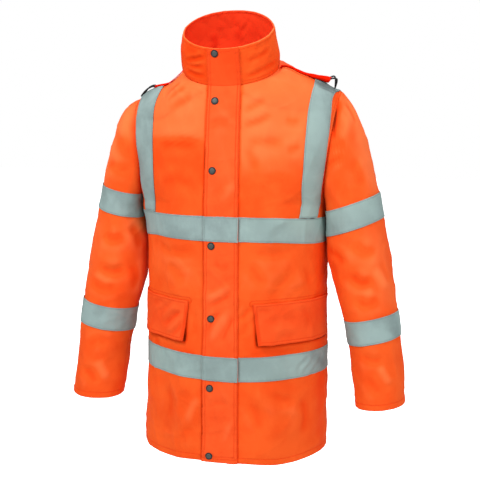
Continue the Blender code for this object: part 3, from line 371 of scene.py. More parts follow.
TONES = {
    # painted light and shade: where the cloth is painted lighter or, below nothing, deeper; in millimetres
    # the points a patch runs through, x, y, z one after another, and its reach; then the amount
    "body": (
        (-140, -100, -185, -90, -130, -180, -45, -145, -185, 40, -0.55),
        (-130, -110, -262, -50, -148, -262, 22, -0.3),
        (50, -146, -262, 130, -112, -262, 22, -0.3),
        (-140, -100, -380, -60, -145, -400, 40, 0.25),
        (60, -145, -420, 120, -115, -400, 50, 0.12),
        (182, -40, -360, 187, -30, -780, 30, -0.6),
        (-186, -50, -380, -190, -40, -770, 22, -0.25),
        (-150, -90, -560, -60, -150, -566, 10, -0.6),
        (70, -148, -558, 150, -95, -560, 12, -0.6),
        (-150, -95, -640, 0, -158, -640, 150, -95, -640, 16, -0.35),
    ),
    "flap": (
        (0, -145, -60, 0, -150, -200, 45, 0.25),
        (0, -152, -262, 30, -152, -262, 20, -0.25),
        (10, -155, -350, 10, -155, -370, 30, -0.2),
    ),
    "sleeve": (
        (241, 1, -84, 255, -1, -113, 268, -10, -152, 50, 0.22),
        (-209, -51, -304, -212, -56, -357, -221, -64, -402, 35, 0.25),
        (-204, -49, -326, -200, -40, -369, -200, -31, -414, -207, -37, -456, 24, 0.9),
        (213, -29, -67, 210, -47, -91, 210, -59, -134, 2.8, -0.9),
        (-225, -40, -90, -260, -35, -160, -285, -30, -230, 35, 0.75),
        (235, -20, -85, 268, -20, -150, 290, -20, -220, 35, 0.65),
        (290, -55, -340, 315, -55, -440, 40, 0.45),
        (-290, -50, -340, -315, -45, -440, 35, 0.35),
        (330, -50, -560, 345, -40, -680, 22, 0.25),
        (-330, -50, -560, -345, -40, -680, 22, 0.25),
        (-205, -50, -330, -222, -50, -430, 22, -0.5),
        (205, -45, -320, 222, -50, -430, 22, -0.5),
        (209, -35, -80, 203, -58, -130, 14, -0.7),
        (194, -58, -150, 190, -55, -200, 10, -0.6),
    ),
    "collar": (
        (-90, -80, 20, -60, -120, 15, 45, -0.45),
        (60, -120, 30, 85, -85, 50, 40, 0.2),
    ),
    "tape": (
        (171, -43, -31, 185, -33, -37, 199, -20, -44, 212, -15, -54, 10, -1),
        (175, -51, -39, 192, -37, -45, 210, -25, -57, 2.2, -0.6),
        (179, -33, -32, 194, -16, -38, 210, -2, -46, 2.2, -0.6),
        (160, -90, -90, 158, -90, -280, 40, 0.5),
        (60, -145, -305, 115, -122, -305, 165, -73, -305, 50, 0.4),
        (-130, -110, -595, 150, -110, -595, 60, 0.45),
        (250, -60, -270, 310, -30, -250, 50, 0.5),
        (240, -60, -525, 330, -50, -510, 50, 0.35),
        (146, -95, -292.5, 158, -82, -294.5, 174, -57, -296.5, 1.3, -1.3),
        (152, -90, -293.5, 158, -82, -294.5, 2, -1),
        (166, -70, -295.5, 170, -63, -296, 2.2, -1.2),
        (-190, -45, -290, -173, -67, -288, -151, -94, -285.5, 1.2, -1),
        (186, -30, -290, 186, -30, -340, 16, 0.7),
        (-160, -40, -52, -205, -15, -75, 8, -0.4),
        (172, -66, -575, 186, -30, -600, 16, -0.55),
        (-180, -50, -570, -182, -50, -615, 10, -0.45),
        (-300, -40, -235, -312, -30, -300, 18, -0.65),
        (302, -40, -235, 314, -30, -290, 16, -0.55),
        (-335, -55, -490, -338, -50, -545, 18, -0.5),
        (338, -60, -480, 342, -55, -530, 14, -0.45),
        (232, -55, -510, 238, -60, -545, 12, -0.55),
        (-232, -55, -510, -236, -60, -545, 10, -0.4),
    ),
}
# painted tone over these whole pieces: a little painted light on the sleeves, painted shade on the others
BASE_TONES = {"sleeve": 0.05, "collar": -0.35, "collar_flap": -0.55, "pocket": -0.15}  # 0 on the others
# painted light on crease ridges and painted shade in their troughs
CREASE_SHADE_PER_MM = 0.42  # tone for each millimetre that a crease stands out
# painted light on the upper chest, which faces up towards the light
CHEST_LIGHT = 0.66  # how much lighter the upper chest is
CHEST_LIGHT_FOOT = {"right": -0.140, "left": -0.185}  # height where that ends
CHEST_LIGHT_FADE = {"right": 0.017, "left": 0.090}  # how tall its soft end is

LET_OUT = {
    # in millimetres: heights and how far the cloth stands out there, away from the body, on a
    # sleeve's outer side, on its inner side and on the body's side
    "left": (
        ((-700, 0),),
        (
            (-720, 1), (-660, 4), (-611, 4), (-568.5, 8), (-505, 8), (-441.6, 4), (-420, 0),
            (-385, -5), (-335, -5), (-300, -2), (-260, 0),
        ),
        ((-700, 0),),
    ),
    "right": (
        (
            (-720, -3), (-660, -2), (-510, 0), (-484, -3), (-400, 0), (-340, -2), (-293.5, -4),
            (-272, -6.5), (-230, -4), (-188, -2), (-145.5, 0), (-116, 4), (-100, 7), (-78, 7),
            (-62, 3),
        ),
        (
            (-720, -2), (-670, -2), (-632, 0), (-600, 4), (-547, 5), (-526, 7), (-505, 6),
            (-463, 2), (-441.6, 0), (-400, 1), (-344, 3), (-290, 5), (-250, 3), (-200, 0),
        ),
        ((-790, 5), (-675, 5), (-610, 2), (-560, 0), (-530, -2), (-440, -2), (-400, 0)),
    ),
}
# painted highlight along the collar's rim
RIM_LIGHT = 1.1  # how much lighter the collar's rim is
TAPE_EDGE_SHADE = 0.15  # how much deeper a tape's long edges are
BACK_DIP = 0.006  # how much lower the back lies behind the left strap
COLLAR_BULGE = 0.0045  # how far the collar's right side bulges out
HEM_DIP = {"left": 0.0060, "right": 0.0050}  # how much lower the hem hangs near the middle of each front
HEM_DIP_PLACE = (0.125, 0.045)  # distance from the middle, and reach

CHEST_DROP = {
    # in millimetres: distance from the middle, and how much lower the chest tape's top and bottom
    # edges run there
    "left": ((50, 0, 0), (107, 1, 3.6), (149, 5.5, 9.5), (170, 8, 13), (186, 10.5, 15)),
    "right": ((140, 0, 1), (152, 0, 2), (175, 1.5, 6), (190, 3, 8.5)),
}

SHOULDER_TAPE_COURSE = {
    # in millimetres: height, how far the tape runs outside its first line there, and its width
    # along that row
    "left": ((-310, -1, 50), (-240, 3, 51), (-127, 5, 52), (-56, 5, 52), (-31, 4, 56), (-21, 3, 62)),
    "right": (
        (-310, 3, 50), (-240, 1, 52), (-138, -2.5, 56), (-103, -3.5, 57),
        (-78, -6.5, 60), (-54, -12, 66), (-44, -17, 74),
    ),
}

# --- sampling ----------------------------------------------------------------------------------

ARMPIT_ROW = 6.0
NECK_ROW = 10.0
ARMHOLE_ROWS = (6.0, 6.5, 7.0, 7.6, 8.3, 9.1, 10.0, 10.4, 10.8, 11.2, 11.6, 12.0)
ROW_SPLIT = 5  # rows for each of those
HEM_TURN = (0.0118, 0.0138)  # from where to where a turned-up hem's second layer ends
EDGE_STEPS = np.array([0.0007, 0.0018, *HEM_TURN])  # rows that a free edge needs for its shape
HEIGHTS = np.unique(np.concatenate([np.linspace(HEM, CHEST_TAPE_TOP, 146), HEM + EDGE_STEPS]))
ROW_SPACING = HEIGHTS[-1] - HEIGHTS[-2]
SHORT_OF_ARMPIT = np.array([0.3, 0.6, 0.85])
SIDES = (("left", False), ("right", True))  # the wearer's, and whether its grids are mirrored
MIRROR = np.array([-1.0, 1.0, 1.0])
FLIP = {"left": np.ones(3), "right": MIRROR}


# --- grids of points ---------------------------------------------------------------------------


def steps(count, *near):
    """Even steps from 0 to 1, and further ones at these shares from either end, for the edges' shape."""
    near = np.array(near)
    return np.unique(np.concatenate([np.linspace(0.0, 1.0, count), near, 1.0 - near]))


SHARES = steps(73, 0.0035, 0.0085)


def metres(rows):
    """A table in millimetres as an array in metres."""
    return np.array(rows, float) / 1000


def number_at(value, ladder):
    """The fractional number at which a rising row of values reaches `value`."""
    return np.interp(value, ladder, np.arange(len(ladder)))


def again(ring):
    """A ring's values with the first one again at the end."""
    return np.concatenate([ring, ring[:1]])


def columns_again(grid):
    """A closed grid's values with the first column again after the last."""
    return np.concatenate([grid, grid[:, :1]], axis=1)


def bell(away, reach):
    """1 at no distance, fading with the square of the distance over its reach."""
    return np.exp(-((away / reach) ** 2))


def rising(values, low, high):
    """0 up to `low`, 1 from `high` on, and in proportion between them."""
    return np.clip((values - low) / (high - low), 0.0, 1.0)


def eased(values, low, high):
    """0 up to `low`, 1 from `high` on, and smooth between them."""
    t = rising(values, low, high)
    return t * t * (3 - 2 * t)


def unit(vectors):
    return vectors / np.linalg.norm(vectors, axis=-1, keepdims=True)


def between(t, start, leaving, end, arriving):
    """A cubic from `start` at t = 0 to `end` at t = 1, with these slopes at its two ends."""
    return (
        (1 + 2 * t) * (1 - t) ** 2 * start
        + t * (1 - t) ** 2 * leaving
        + t * t * (3 - 2 * t) * end
        - t * t * (1 - t) * arriving
    )


def smooth_read(knots, at):
    """Rows of `knots` read at fractional row numbers, on a cubic through them with centred slopes."""
    knots = np.asarray(knots, float)
    at = np.clip(np.asarray(at, float), 0.0, len(knots) - 1)
    slopes = np.gradient(knots, axis=0)
    low = np.minimum(at.astype(int), len(knots) - 2)
    t = (at - low).reshape(at.shape + (1,) * (knots.ndim - 1))
    return between(t, knots[low], slopes[low], knots[low + 1], slopes[low + 1])


def neck_point(turn):
    """A point of the neck seam, `turn` degrees round from the middle of the front."""
    a = np.radians(turn)
    y = -BODY_BACK - NECK_HALF_DEPTH * np.cos(a)
    return np.stack([NECK_HALF_WIDTH * np.sin(a), y, -NECK_TILT * np.cos(a)], axis=-1)


def panel_knots(table):
    """Inner point, outer point, turn and sag of each level of a panel's table."""
    knots = []
    for _, *middle, neck_turn, edge_x, edge_y, edge_z, turn, sag in table:
        inner = metres((0, *middle)) if neck_turn is None else neck_point(neck_turn)
        knots.append((*inner, *metres((edge_x, edge_y, edge_z)), math.radians(turn), sag / 1000))
    return np.array(knots)


def panel_levels(table, rows):
    """The panel's levels at fractional rows. The outer line has a corner at the armpit, the inner one
    at the neck, where it turns into the neck seam."""
    knots, rows = panel_knots(table), np.asarray(rows, float)
    level = smooth_read(knots, rows)
    armpit, neck = int(ARMPIT_ROW), int(NECK_ROW)
    below, above = smooth_read(knots[: armpit + 1], rows), smooth_read(knots[armpit:], rows - armpit)
    level[:, 3:6] = np.where(rows[:, None] <= armpit, below, above)[:, 3:6]
    turns = [neck_turn for _, _, _, neck_turn, *_ in table[neck:]]
    seam = neck_point(np.interp(rows - neck, np.arange(len(turns)), turns))
    middle = smooth_read(knots[: neck + 1], rows)[:, 0:3]
    level[:, 0:3] = np.where(rows[:, None] <= neck, middle, seam)
    return level


def panel_points(table, rows, shares):
    """Points of a panel: each row an arc from its inner to its outer point, `shares` of the way along."""
    level = panel_levels(table, rows)
    inner, outer = level[:, None, 0:3], level[:, None, 3:6]
    turn, sag = level[:, 6:7], level[:, 7:8]
    share = np.atleast_2d(shares)
    across = np.sin(turn * share) / np.sin(turn)
    deep = (1 - np.cos(turn * share)) / (1 - np.cos(turn))
    points = inner + (outer - inner) * np.stack([across, deep, across], axis=-1)
    points[..., 2] -= sag * np.sin(np.pi * share) ** 2
    return points


def rows_at(table, heights):
    """The fractional rows whose middle lies at these heights, below the armpit."""
    fine = np.linspace(0.0, ARMPIT_ROW, 400)
    middle_z = smooth_read(panel_knots(table), fine)[:, 2]
    return np.interp(heights, middle_z, fine)


def panel_rows(table):
    """A panel's rows from hem to shoulder: level ones at HEIGHTS, then those to the armpit and past it."""
    under = rows_at(table, HEIGHTS)
    short = under[-1] + (ARMPIT_ROW - under[-1]) * SHORT_OF_ARMPIT
    onward = np.arange(ROW_SPLIT * (len(ARMHOLE_ROWS) - 1) + 1) / ROW_SPLIT
    return np.concatenate([under, short, np.interp(onward, np.arange(len(ARMHOLE_ROWS)), ARMHOLE_ROWS)])


def normals_of(points, closed=False):
    """The outward normal at each point of a grid whose columns run anticlockwise seen from outside."""
    along = np.gradient(points, axis=0)
    if closed:
        across = np.roll(points, -1, axis=1) - np.roll(points, 1, axis=1)
    else:
        across = np.gradient(points, axis=1)
    return unit(np.cross(across, along))


def folded(points, normals):
    """The points moved along their normals into the large folds: each is a line in space that pushes
    what lies within its reach, fading with the square of the distance."""
    moved = np.zeros(points.shape[:-1])
    for row in map(metres, FOLDS):
        start, line = row[0:3], row[3:6] - row[0:3]
        share = np.clip((points - start) @ line / (line @ line), 0.0, 1.0)
        away = np.linalg.norm(points - (start + share[..., None] * line), axis=-1)
        moved += row[7] * bell(away, row[6])
    return points + moved[..., None] * normals


def hung(points):
    """The right side's points, turned to the left, moved to where that side hangs."""
    x, z = points[..., 0], points[..., 2]
    towards_tip = rising(x, 0.088, 0.210) ** 0.9 * rising(z, -0.30, -0.08)
    towards_hem = 0.5 * rising(-z, 0.31, 0.46) + 0.5 * rising(-z, 0.46, 0.79)
    towards_side = rising(x, 0.0, BODY_HALF_WIDTH)
    moved = points.copy()
    moved[..., 2] -= RIGHT_DROOP * towards_tip + RIGHT_DIP * over_shoulder(points, *RIGHT_DIP_PLACE)
    moved[..., 0] += RIGHT_SPREAD * towards_hem * towards_side**2
    moved[..., 0] += RIGHT_PULL * bell(z + 0.270, 0.055) * towards_side**6
    return moved


def over_shoulder(points, middle, reach):
    """1 on the shoulder at this distance from the middle, fading along it and down the front and back."""
    x, z = points[..., 0], points[..., 2]
    return bell(x - middle, reach) * eased(z, -0.17, -0.05)


def raise_left(front, back):
    """The left side's shoulder lifted, also close to the neck, where the back lies lower behind the strap."""
    seam = neckline(front, back)
    for grid in (front, back):
        inward = eased(to_line(grid, seam)[0], 0.0, 0.012)
        near_neck = NECK_RISE * inward * over_shoulder(grid, *NECK_RISE_PLACE)
        grid[..., 2] += LEFT_RISE * over_shoulder(grid, *LEFT_RISE_PLACE) + near_neck
    behind = runs(back[::-1], 0)[::-1]
    middle, reach = BACK_DIP_PLACE
    dip = bell(back[..., 0] - middle, reach) * eased(behind, 0.002, 0.016)
    back[..., 2] -= BACK_DIP * dip * inward * (1 - eased(behind, 0.05, 0.10))


def let_out(points, side, sleeve):
    """A side's cloth moved away from the body by the table of heights; a hem that hangs unevenly."""
    outer, inner, body = (metres(rows).T for rows in LET_OUT[side])
    x, z = points[..., 0], points[..., 2]
    moved = points.copy()
    if sleeve:
        low, high = x.min(1, keepdims=True), x.max(1, keepdims=True)
        place_on = (2 * x - low - high) / (high - low)
        moved[..., 0] += eased(place_on, 0.1, 0.9) * np.interp(z, *outer)
        moved[..., 0] += eased(-place_on, 0.1, 0.9) * np.interp(z, *inner)
        return moved
    moved[..., 0] += eased(x, 0.09, BODY_HALF_WIDTH) * np.interp(z, *body)
    middle, reach = HEM_DIP_PLACE
    moved[..., 2] -= HEM_DIP[side] * bell(x - middle, reach) * eased(-z, 0.70, -HEM)
    return moved


def seam_normals(own, other):
    """The shared normal of two pieces at a seam, or each its own where the cloth doubles back."""
    blend = np.clip((np.sum(own * other, axis=-1, keepdims=True) + 0.1) / 0.5, 0.0, 1.0)
    return unit(own + blend * other)


def on_grid(values, rows, columns):
    """A grid read between its points, at fractional row and column numbers."""
    rows, columns = np.broadcast_arrays(rows, columns)
    i = np.clip(rows.astype(int), 0, values.shape[0] - 2)
    j = np.clip(columns.astype(int), 0, values.shape[1] - 2)
    s, t = (rows - i)[..., None], (columns - j)[..., None]
    low = values[i, j] * (1 - t) + values[i, j + 1] * t
    high = values[i + 1, j] * (1 - t) + values[i + 1, j + 1] * t
    return low * (1 - s) + high * s


def runs(points, axis):
    """How far along its row or column each point of a grid lies."""
    lengths = np.linalg.norm(np.diff(points, axis=axis), axis=-1)
    start = np.zeros_like(np.take(lengths, [0], axis=axis))
    return np.concatenate([start, np.cumsum(lengths, axis=axis)], axis=axis)


def to_line(points, line):
    """Each point's distance from a line through points, and how far along it the nearest place is."""
    away = np.full(points.shape[:-1], np.inf)
    run = np.zeros(points.shape[:-1])
    passed = 0.0
    for start, end in zip(line[:-1], line[1:]):
        step = end - start
        length = np.linalg.norm(step)
        if length == 0.0:
            continue
        share = np.clip((points - start) @ step / length**2, 0.0, 1.0)
        distance = np.linalg.norm(points - (start + share[..., None] * step), axis=-1)
        nearer = distance < away
        away = np.where(nearer, distance, away)
        run = np.where(nearer, passed + share * length, run)
        passed += length
    return away, run


def read_finely(knots, count):
    """Rows of `knots` with `count` steps from each to the next."""
    return smooth_read(knots, np.linspace(0.0, len(knots) - 1, count * (len(knots) - 1) + 1))


def creased(points, group):
    """How far a group of creases moves these points outwards: a crease is a smooth line with a soft
    trough along it and a low bank on either side, fading out at both ends."""
    moved = np.zeros(points.shape[:-1])
    for *knots, width, depth in map(metres, CREASES[group]):
        line = read_finely(np.reshape(knots, (-1, 3)), 5)
        near = np.all((points > line.min(0) - 4 * width) & (points < line.max(0) + 4 * width), axis=-1)
        away, run = to_line(points[near], line)
        length = np.linalg.norm(np.diff(line, axis=0), axis=1).sum()
        share = run / length
        fade = eased(np.minimum(share, 1 - share), 0.0, 0.3)
        trough = bell(away, width) - 0.4 * bell(away / width - 2.0, 1.0)
        moved[near] -= depth * fade * trough
    return moved


def undulation(points, seed, count=9, height=0.0006, longest=0.20, shortest=0.06):
    """Gentle unevenness: a sum of plane waves of random directions and wavelengths."""
    draw = np.random.default_rng(seed)
    total = np.zeros(points.shape[:-1])
    for wavelength in np.linspace(longest, shortest, count):
        direction = unit(draw.normal(size=3))
        phase = draw.uniform(0.0, 2 * np.pi)
        total += np.sin(points @ direction * 2 * np.pi / wavelength + phase) * wavelength / longest
    return height * total


def crumple(points, seed, height=0.0007, waves=((0.075, 1.0), (0.052, 0.8), (0.037, 0.6))):
    """The handling wrinkles of coated cloth: narrow soft ridges along the crests of bent waves, in
    patches. height x sum of share x patch x (1 - |sin(path / wave)|)^3, where the path bends."""
    draw = np.random.default_rng(seed)
    total = np.zeros(points.shape[:-1])
    for wavelength, share in waves:
        for _ in range(3):
            direction, across, patchy = unit(draw.normal(size=(3, 3)))
            phases = draw.uniform(0.0, 2 * np.pi, 3)
            bend = 0.35 * wavelength * np.sin(points @ across * 2 * np.pi / (1.7 * wavelength) + phases[0])
            path = (points @ direction + bend) * np.pi / wavelength
            patch = eased(np.sin(points @ patchy * 2 * np.pi / 0.16 + phases[1]), -0.2, 0.9)
            total += share * patch * (1 - np.abs(np.sin(path + phases[2]))) ** 3
    return height * (total - 0.3)


def puckers(away, run, seed, wave=0.011, height=0.0004, reach=0.012):
    """The small waves that a sewn seam gathers in the cloth beside it."""
    draw = np.random.default_rng(seed)
    bend = 0.004 * np.sin(run * 2 * np.pi / 0.07 + draw.uniform(0, 6.28))
    swell = 0.6 + 0.4 * np.sin(run * 2 * np.pi / 0.043 + draw.uniform(0, 6.28))
    wave = np.sin((run + bend) * 2 * np.pi / wave)
    return height * swell * wave * eased(away, 0.0005, 0.003) * bell(away, reach)


def toned(points, group, key=None):
    """How much lighter or deeper the cloth is at these points, from the table of patches."""
    tone = np.full(points.shape[:-1], BASE_TONES.get(key or group, 0.0))
    for *row, amount in TONES.get(group, ()):
        *knots, reach = metres(row)
        away, _ = to_line(points, np.reshape(knots, (-1, 3)))
        tone += amount * bell(away, reach)
    return tone


def crease_shading(points, group):
    """Ridges of folds are rubbed lighter and troughs stay deeper."""
    return CREASE_SHADE_PER_MM * (creased(points, group) + 0.35 * crumple(points, 6)) / 0.001


def chest_painted_light(points, side):
    """The upper chest faces up a little and has faded: lighter above a soft level line."""
    foot, fade = CHEST_LIGHT_FOOT[side], CHEST_LIGHT_FADE[side]
    above = eased(points[..., 2], foot - fade / 2, foot + fade / 2)
    below_shoulder = 1 - 0.1 * eased(points[..., 2], -0.075, -0.040)
    forward = eased(-points[..., 1], 0.02, 0.07)
    return CHEST_LIGHT * above * below_shoulder * forward


# --- the main grids ----------------------------------------------------------------------------

ARMPIT = len(HEIGHTS) + len(SHORT_OF_ARMPIT)
NECK = ARMPIT + ROW_SPLIT * ARMHOLE_ROWS.index(NECK_ROW)


def level_middle(normals, points):
    """A normal on the middle line leans to neither side."""
    on_middle = np.abs(points[..., 0]) < 1e-6
    normals[..., 0] = np.where(on_middle, 0.0, normals[..., 0])
    return unit(normals)


def join(own, own_at, other, other_at):
    """Gives two pieces the same normals at the seam where own[own_at] meets other[other_at]."""
    first, second = own[own_at].copy(), other[other_at].copy()
    own[own_at], other[other_at] = seam_normals(first, second), seam_normals(second, first)


def body_normals(front, back):
    """Outward normals of the half front and half back, shared at the side and shoulder seams."""
    front_n = level_middle(normals_of(front), front)
    back_n = level_middle(-normals_of(back), back)
    join(front_n, np.s_[:ARMPIT, -1], back_n, np.s_[:ARMPIT, -1])
    join(front_n, np.s_[-1, :], back_n, np.s_[-1, :])
    return front_n, back_n


def armhole(front, back):
    """Values round the armhole: from the armpit up the front to the shoulder, then down the back."""
    return np.concatenate([front[ARMPIT:, -1], back[ARMPIT:, -1][::-1][1:-1]])


def set_armhole(front, back, ring):
    """Puts values that run round the armhole back into the front's and the back's grids."""
    half = len(ring) // 2
    front[ARMPIT:, -1] = ring[: half + 1]
    back[ARMPIT:, -1] = np.concatenate([ring[half:], ring[:1]])[::-1]


def neckline(front, back):
    """Values along the neck seam, from the middle of the front round to the middle of the back."""
    return np.concatenate([front[NECK:, 0], back[NECK:, 0][::-1][1:]])


def sleeve_points(side, ring, cap_steps=42, down_steps=100):
    """Points of a sleeve, cuff first: from the armhole ring each line leaves in its own direction,
    joins the first section and then follows the sections, which are ellipses about the arm."""
    table, (out_x, out_z, pull) = SLEEVES[side], CAPS[side]
    sections = np.array([row[1:] for row in table], float)
    half = len(ring) // 2
    run = runs(again(ring), 0)
    front_share = run[: half + 1] / run[half]
    back_share = (run[half + 1 : -1] - run[half]) / (run[-1] - run[half])
    turn = np.pi * np.concatenate([front_share, 1 + back_share])

    def section(at):
        x, y, z, half_width, half_depth, lean = smooth_read(sections, at).T[..., None]
        lean = np.radians(lean)
        out = -np.cos(turn) * half_width
        along = (x + out * np.cos(lean), y - np.sin(turn) * half_depth, z + out * np.sin(lean))
        return np.stack(along, axis=-1)

    first, second = section(np.array([0.0, 0.25]))
    onward = unit(second - first)
    weight = np.sin(turn / 2)[:, None] ** 2
    top = np.array([out_x, 0.0, out_z])
    outward = unit(weight * top + (1 - weight) * CAP_PIT + np.sin(turn)[:, None] * CAP_SIDE)
    reach = np.linalg.norm(first - ring, axis=1)[:, None] * (1 - weight + weight * pull)
    t = np.append(np.linspace(1.0, 0.0, cap_steps + 1)[1:-1], [0.012, 0.0])[:, None, None]
    cap = between(t, ring, reach * outward, first, reach * onward)
    ends = EDGE_STEPS / LAST_SECTION_LENGTH
    down = np.unique(np.concatenate([np.linspace(0.0, 4.0, down_steps + 1), 4.0 - ends]))[::-1]
    return np.concatenate([section(down), cap])


def collar_points(turns, levels):
    """Points of the collar: from the neck seam its levels narrow, rise and lean forwards to the rim."""
    a = np.radians(turns)
    backness = (1 - np.cos(a)) / 2
    seam = neck_point(turns)
    knots = [seam]
    for _, forward, half_width, half_depth, rise_front, rise_back in COLLAR:
        x = half_width * np.sin(a)
        y = -BODY_BACK - forward - half_depth * np.cos(a)
        rise = rise_front * (1 - backness) + rise_back * backness
        knots.append(np.stack([x, y, seam[:, 2] + rise], axis=-1))
    return smooth_read(knots, levels)


class Jacket:
    """The grids of the main pieces, with their shared seams settled and all their folds."""

    def __init__(self, creasing):
        front = panel_points(FRONT, panel_rows(FRONT), SHARES)
        back = panel_points(BACK, panel_rows(BACK), SHARES)
        front_n, back_n = body_normals(front, back)
        self.creasing = creasing
        self.front, self.back, self.sleeve = {}, {}, {}
        self.front_n, self.back_n, self.sleeve_n = {}, {}, {}
        for side, right in SIDES:
            flip = FLIP[side]
            pair = [folded(front * flip, front_n * flip) * flip, folded(back * flip, back_n * flip) * flip]
            if right:
                pair = [hung(grid) for grid in pair]
            else:
                raise_left(*pair)
            self.front[side], self.back[side] = (let_out(grid, side, False) for grid in pair)
        middle = (self.back["left"][:, 0] + self.back["right"][:, 0]) / 2
        for side, _ in SIDES:
            flip = FLIP[side]
            self.back[side][: NECK + 1, 0] = middle[: NECK + 1] * (0.0, 1.0, 1.0)
            ring = armhole(self.front[side], self.back[side])
            sleeve = sleeve_points(side, ring)
            sleeve[:-1] = folded(sleeve * flip, normals_of(sleeve, closed=True) * flip)[:-1] * flip
            near = 1 - eased(to_line(sleeve, ring)[0], 0.0, 0.02)[..., None]
            sleeve = near * sleeve + (1 - near) * let_out(sleeve, side, True)
            self.relax_body(side, flip, ring)
            self.sleeve[side] = self.relaxed(sleeve, normals_of(sleeve, closed=True), flip, "sleeve", [ring])
            self.front_n[side], self.back_n[side] = body_normals(self.front[side], self.back[side])
            self.sleeve_n[side] = normals_of(self.sleeve[side], closed=True)
            edge_n = armhole(self.front_n[side], self.back_n[side])
            own, other = edge_n.copy(), self.sleeve_n[side][-1].copy()
            set_armhole(self.front_n[side], self.back_n[side], seam_normals(own, other))
            self.sleeve_n[side][-1] = seam_normals(other, own)
        self.make_collar()

    def relaxed(self, points, normals, flip, group, fixed):
        """Points moved into creases and unevenness, less and less towards the lines that stay."""
        true = points * flip
        moved = creased(true, group) + undulation(true, 5) + crumple(true, 6)
        for line in fixed:
            away, run = to_line(points, line)
            moved = moved * eased(away, 0.0, 0.016) + puckers(away, run, 3)
        return points + (self.creasing * moved)[..., None] * normals

    def relax_body(self, side, flip, ring):
        """Creases in a side's front and back, which keep their lines at the armhole and the neck."""
        front_n, back_n = body_normals(self.front[side], self.back[side])
        fixed = [again(ring), neckline(self.front[side], self.back[side])]
        self.front[side] = self.relaxed(self.front[side], front_n, flip, "body", fixed)
        self.back[side] = self.relaxed(self.back[side], back_n, flip, "body", fixed)

    def halves(self, side):
        """The points and normals of a side's front and of its back."""
        return (self.front[side], self.front_n[side]), (self.back[side], self.back_n[side])

    def make_collar(self):
        """The collar's left half: its grid runs from the middle of the front to that of the back."""
        seam = neckline(self.front["left"], self.back["left"])
        forward = -(seam[:, 1] + BODY_BACK) / NECK_HALF_DEPTH
        turns = np.degrees(np.arctan2(seam[:, 0] / NECK_HALF_WIDTH, forward))
        turns[0], turns[-1] = 0.0, 180.0
        turns = np.interp(np.arange(2 * len(turns) - 1) / 2, np.arange(len(turns)), turns)
        levels = np.array([*np.linspace(0.0, 3.0, 31)[:-1], 2.96, 2.985, 3.0])
        self.collar = collar_points(turns, levels)
        normals = normals_of(self.collar)
        normals[:, [0, -1], 0] = 0.0
        self.collar_n = unit(normals)
        own = self.collar_n[0, ::2]
        half = len(own) // 2
        for side, _ in SIDES:
            for grid, part in ((self.front_n[side], own[: half + 1]), (self.back_n[side], own[half:][::-1])):
                grid[NECK:, 0] = seam_normals(grid[NECK:, 0], part)


# --- building meshes ---------------------------------------------------------------------------


SHARP_ANGLE = math.radians(55)
ROUND_MAP_WIDTH = 0.02


def place(points):
    """Body coordinates moved to the origin at the neck."""
    return points + (0.0, BODY_BACK, 0.0)


def link(name, vertices, faces, uvs, tones, inside, materials):
    """A mesh object from arrays: quads, corner UV maps in metres and a tone for each vertex; the slice
    `inside` of the quads has the second material."""
    corners = vertices[faces]
    from_middle = corners.mean(axis=1) - vertices.mean(axis=0)
    areas = np.cross(corners[:, 2] - corners[:, 0], corners[:, 3] - corners[:, 1])
    if np.einsum("ij,ij->", from_middle, areas) < 0:
        faces = faces[:, ::-1]
        uvs = {key: values[:, ::-1] for key, values in uvs.items()}
    mesh = bpy.data.meshes.new(name)
    mesh.vertices.add(len(vertices))
    mesh.vertices.foreach_set("co", place(vertices).astype(np.float32).ravel())
    mesh.loops.add(faces.size)
    mesh.loops.foreach_set("vertex_index", faces.astype(np.int32).ravel())
    mesh.polygons.add(len(faces))
    mesh.polygons.foreach_set("loop_start", np.arange(0, faces.size, 4, dtype=np.int32))
    for key, values in uvs.items():
        layer = mesh.uv_layers.new(name=key)
        layer.data.foreach_set("uv", values.astype(np.float32).ravel())
    tone = mesh.attributes.new("Tone", "FLOAT", "POINT")
    tone.data.foreach_set("value", tones.astype(np.float32).ravel())
    for finish in materials:
        mesh.materials.append(finish)
    finish_number = np.zeros(len(faces), np.int32)
    finish_number[inside] = 1
    mesh.polygons.foreach_set("material_index", finish_number)
    mesh.update(calc_edges=True)
    mesh.validate()
    mesh.shade_smooth()
    mesh.set_sharp_from_angle(angle=SHARP_ANGLE)
    thing = bpy.data.objects.new(name, mesh)
    bpy.context.scene.collection.objects.link(thing)
    return thing


def grid_corners(shape, closed):
    """Quads of a grid of corner numbers, and each corner's vertex, the first column's again at the
    seam of a closed grid. A closed grid has one more column of corners than of vertices."""
    rows, columns = shape
    wide = columns + (1 if closed else 0)
    corner = np.arange(rows * wide).reshape(rows, wide)
    quads = np.stack([corner[:-1, :-1], corner[:-1, 1:], corner[1:, 1:], corner[1:, :-1]], axis=-1)
    vertex = np.arange(rows)[:, None] * columns + np.arange(wide)[None] % columns
    return quads.reshape(-1, 4), vertex.ravel()


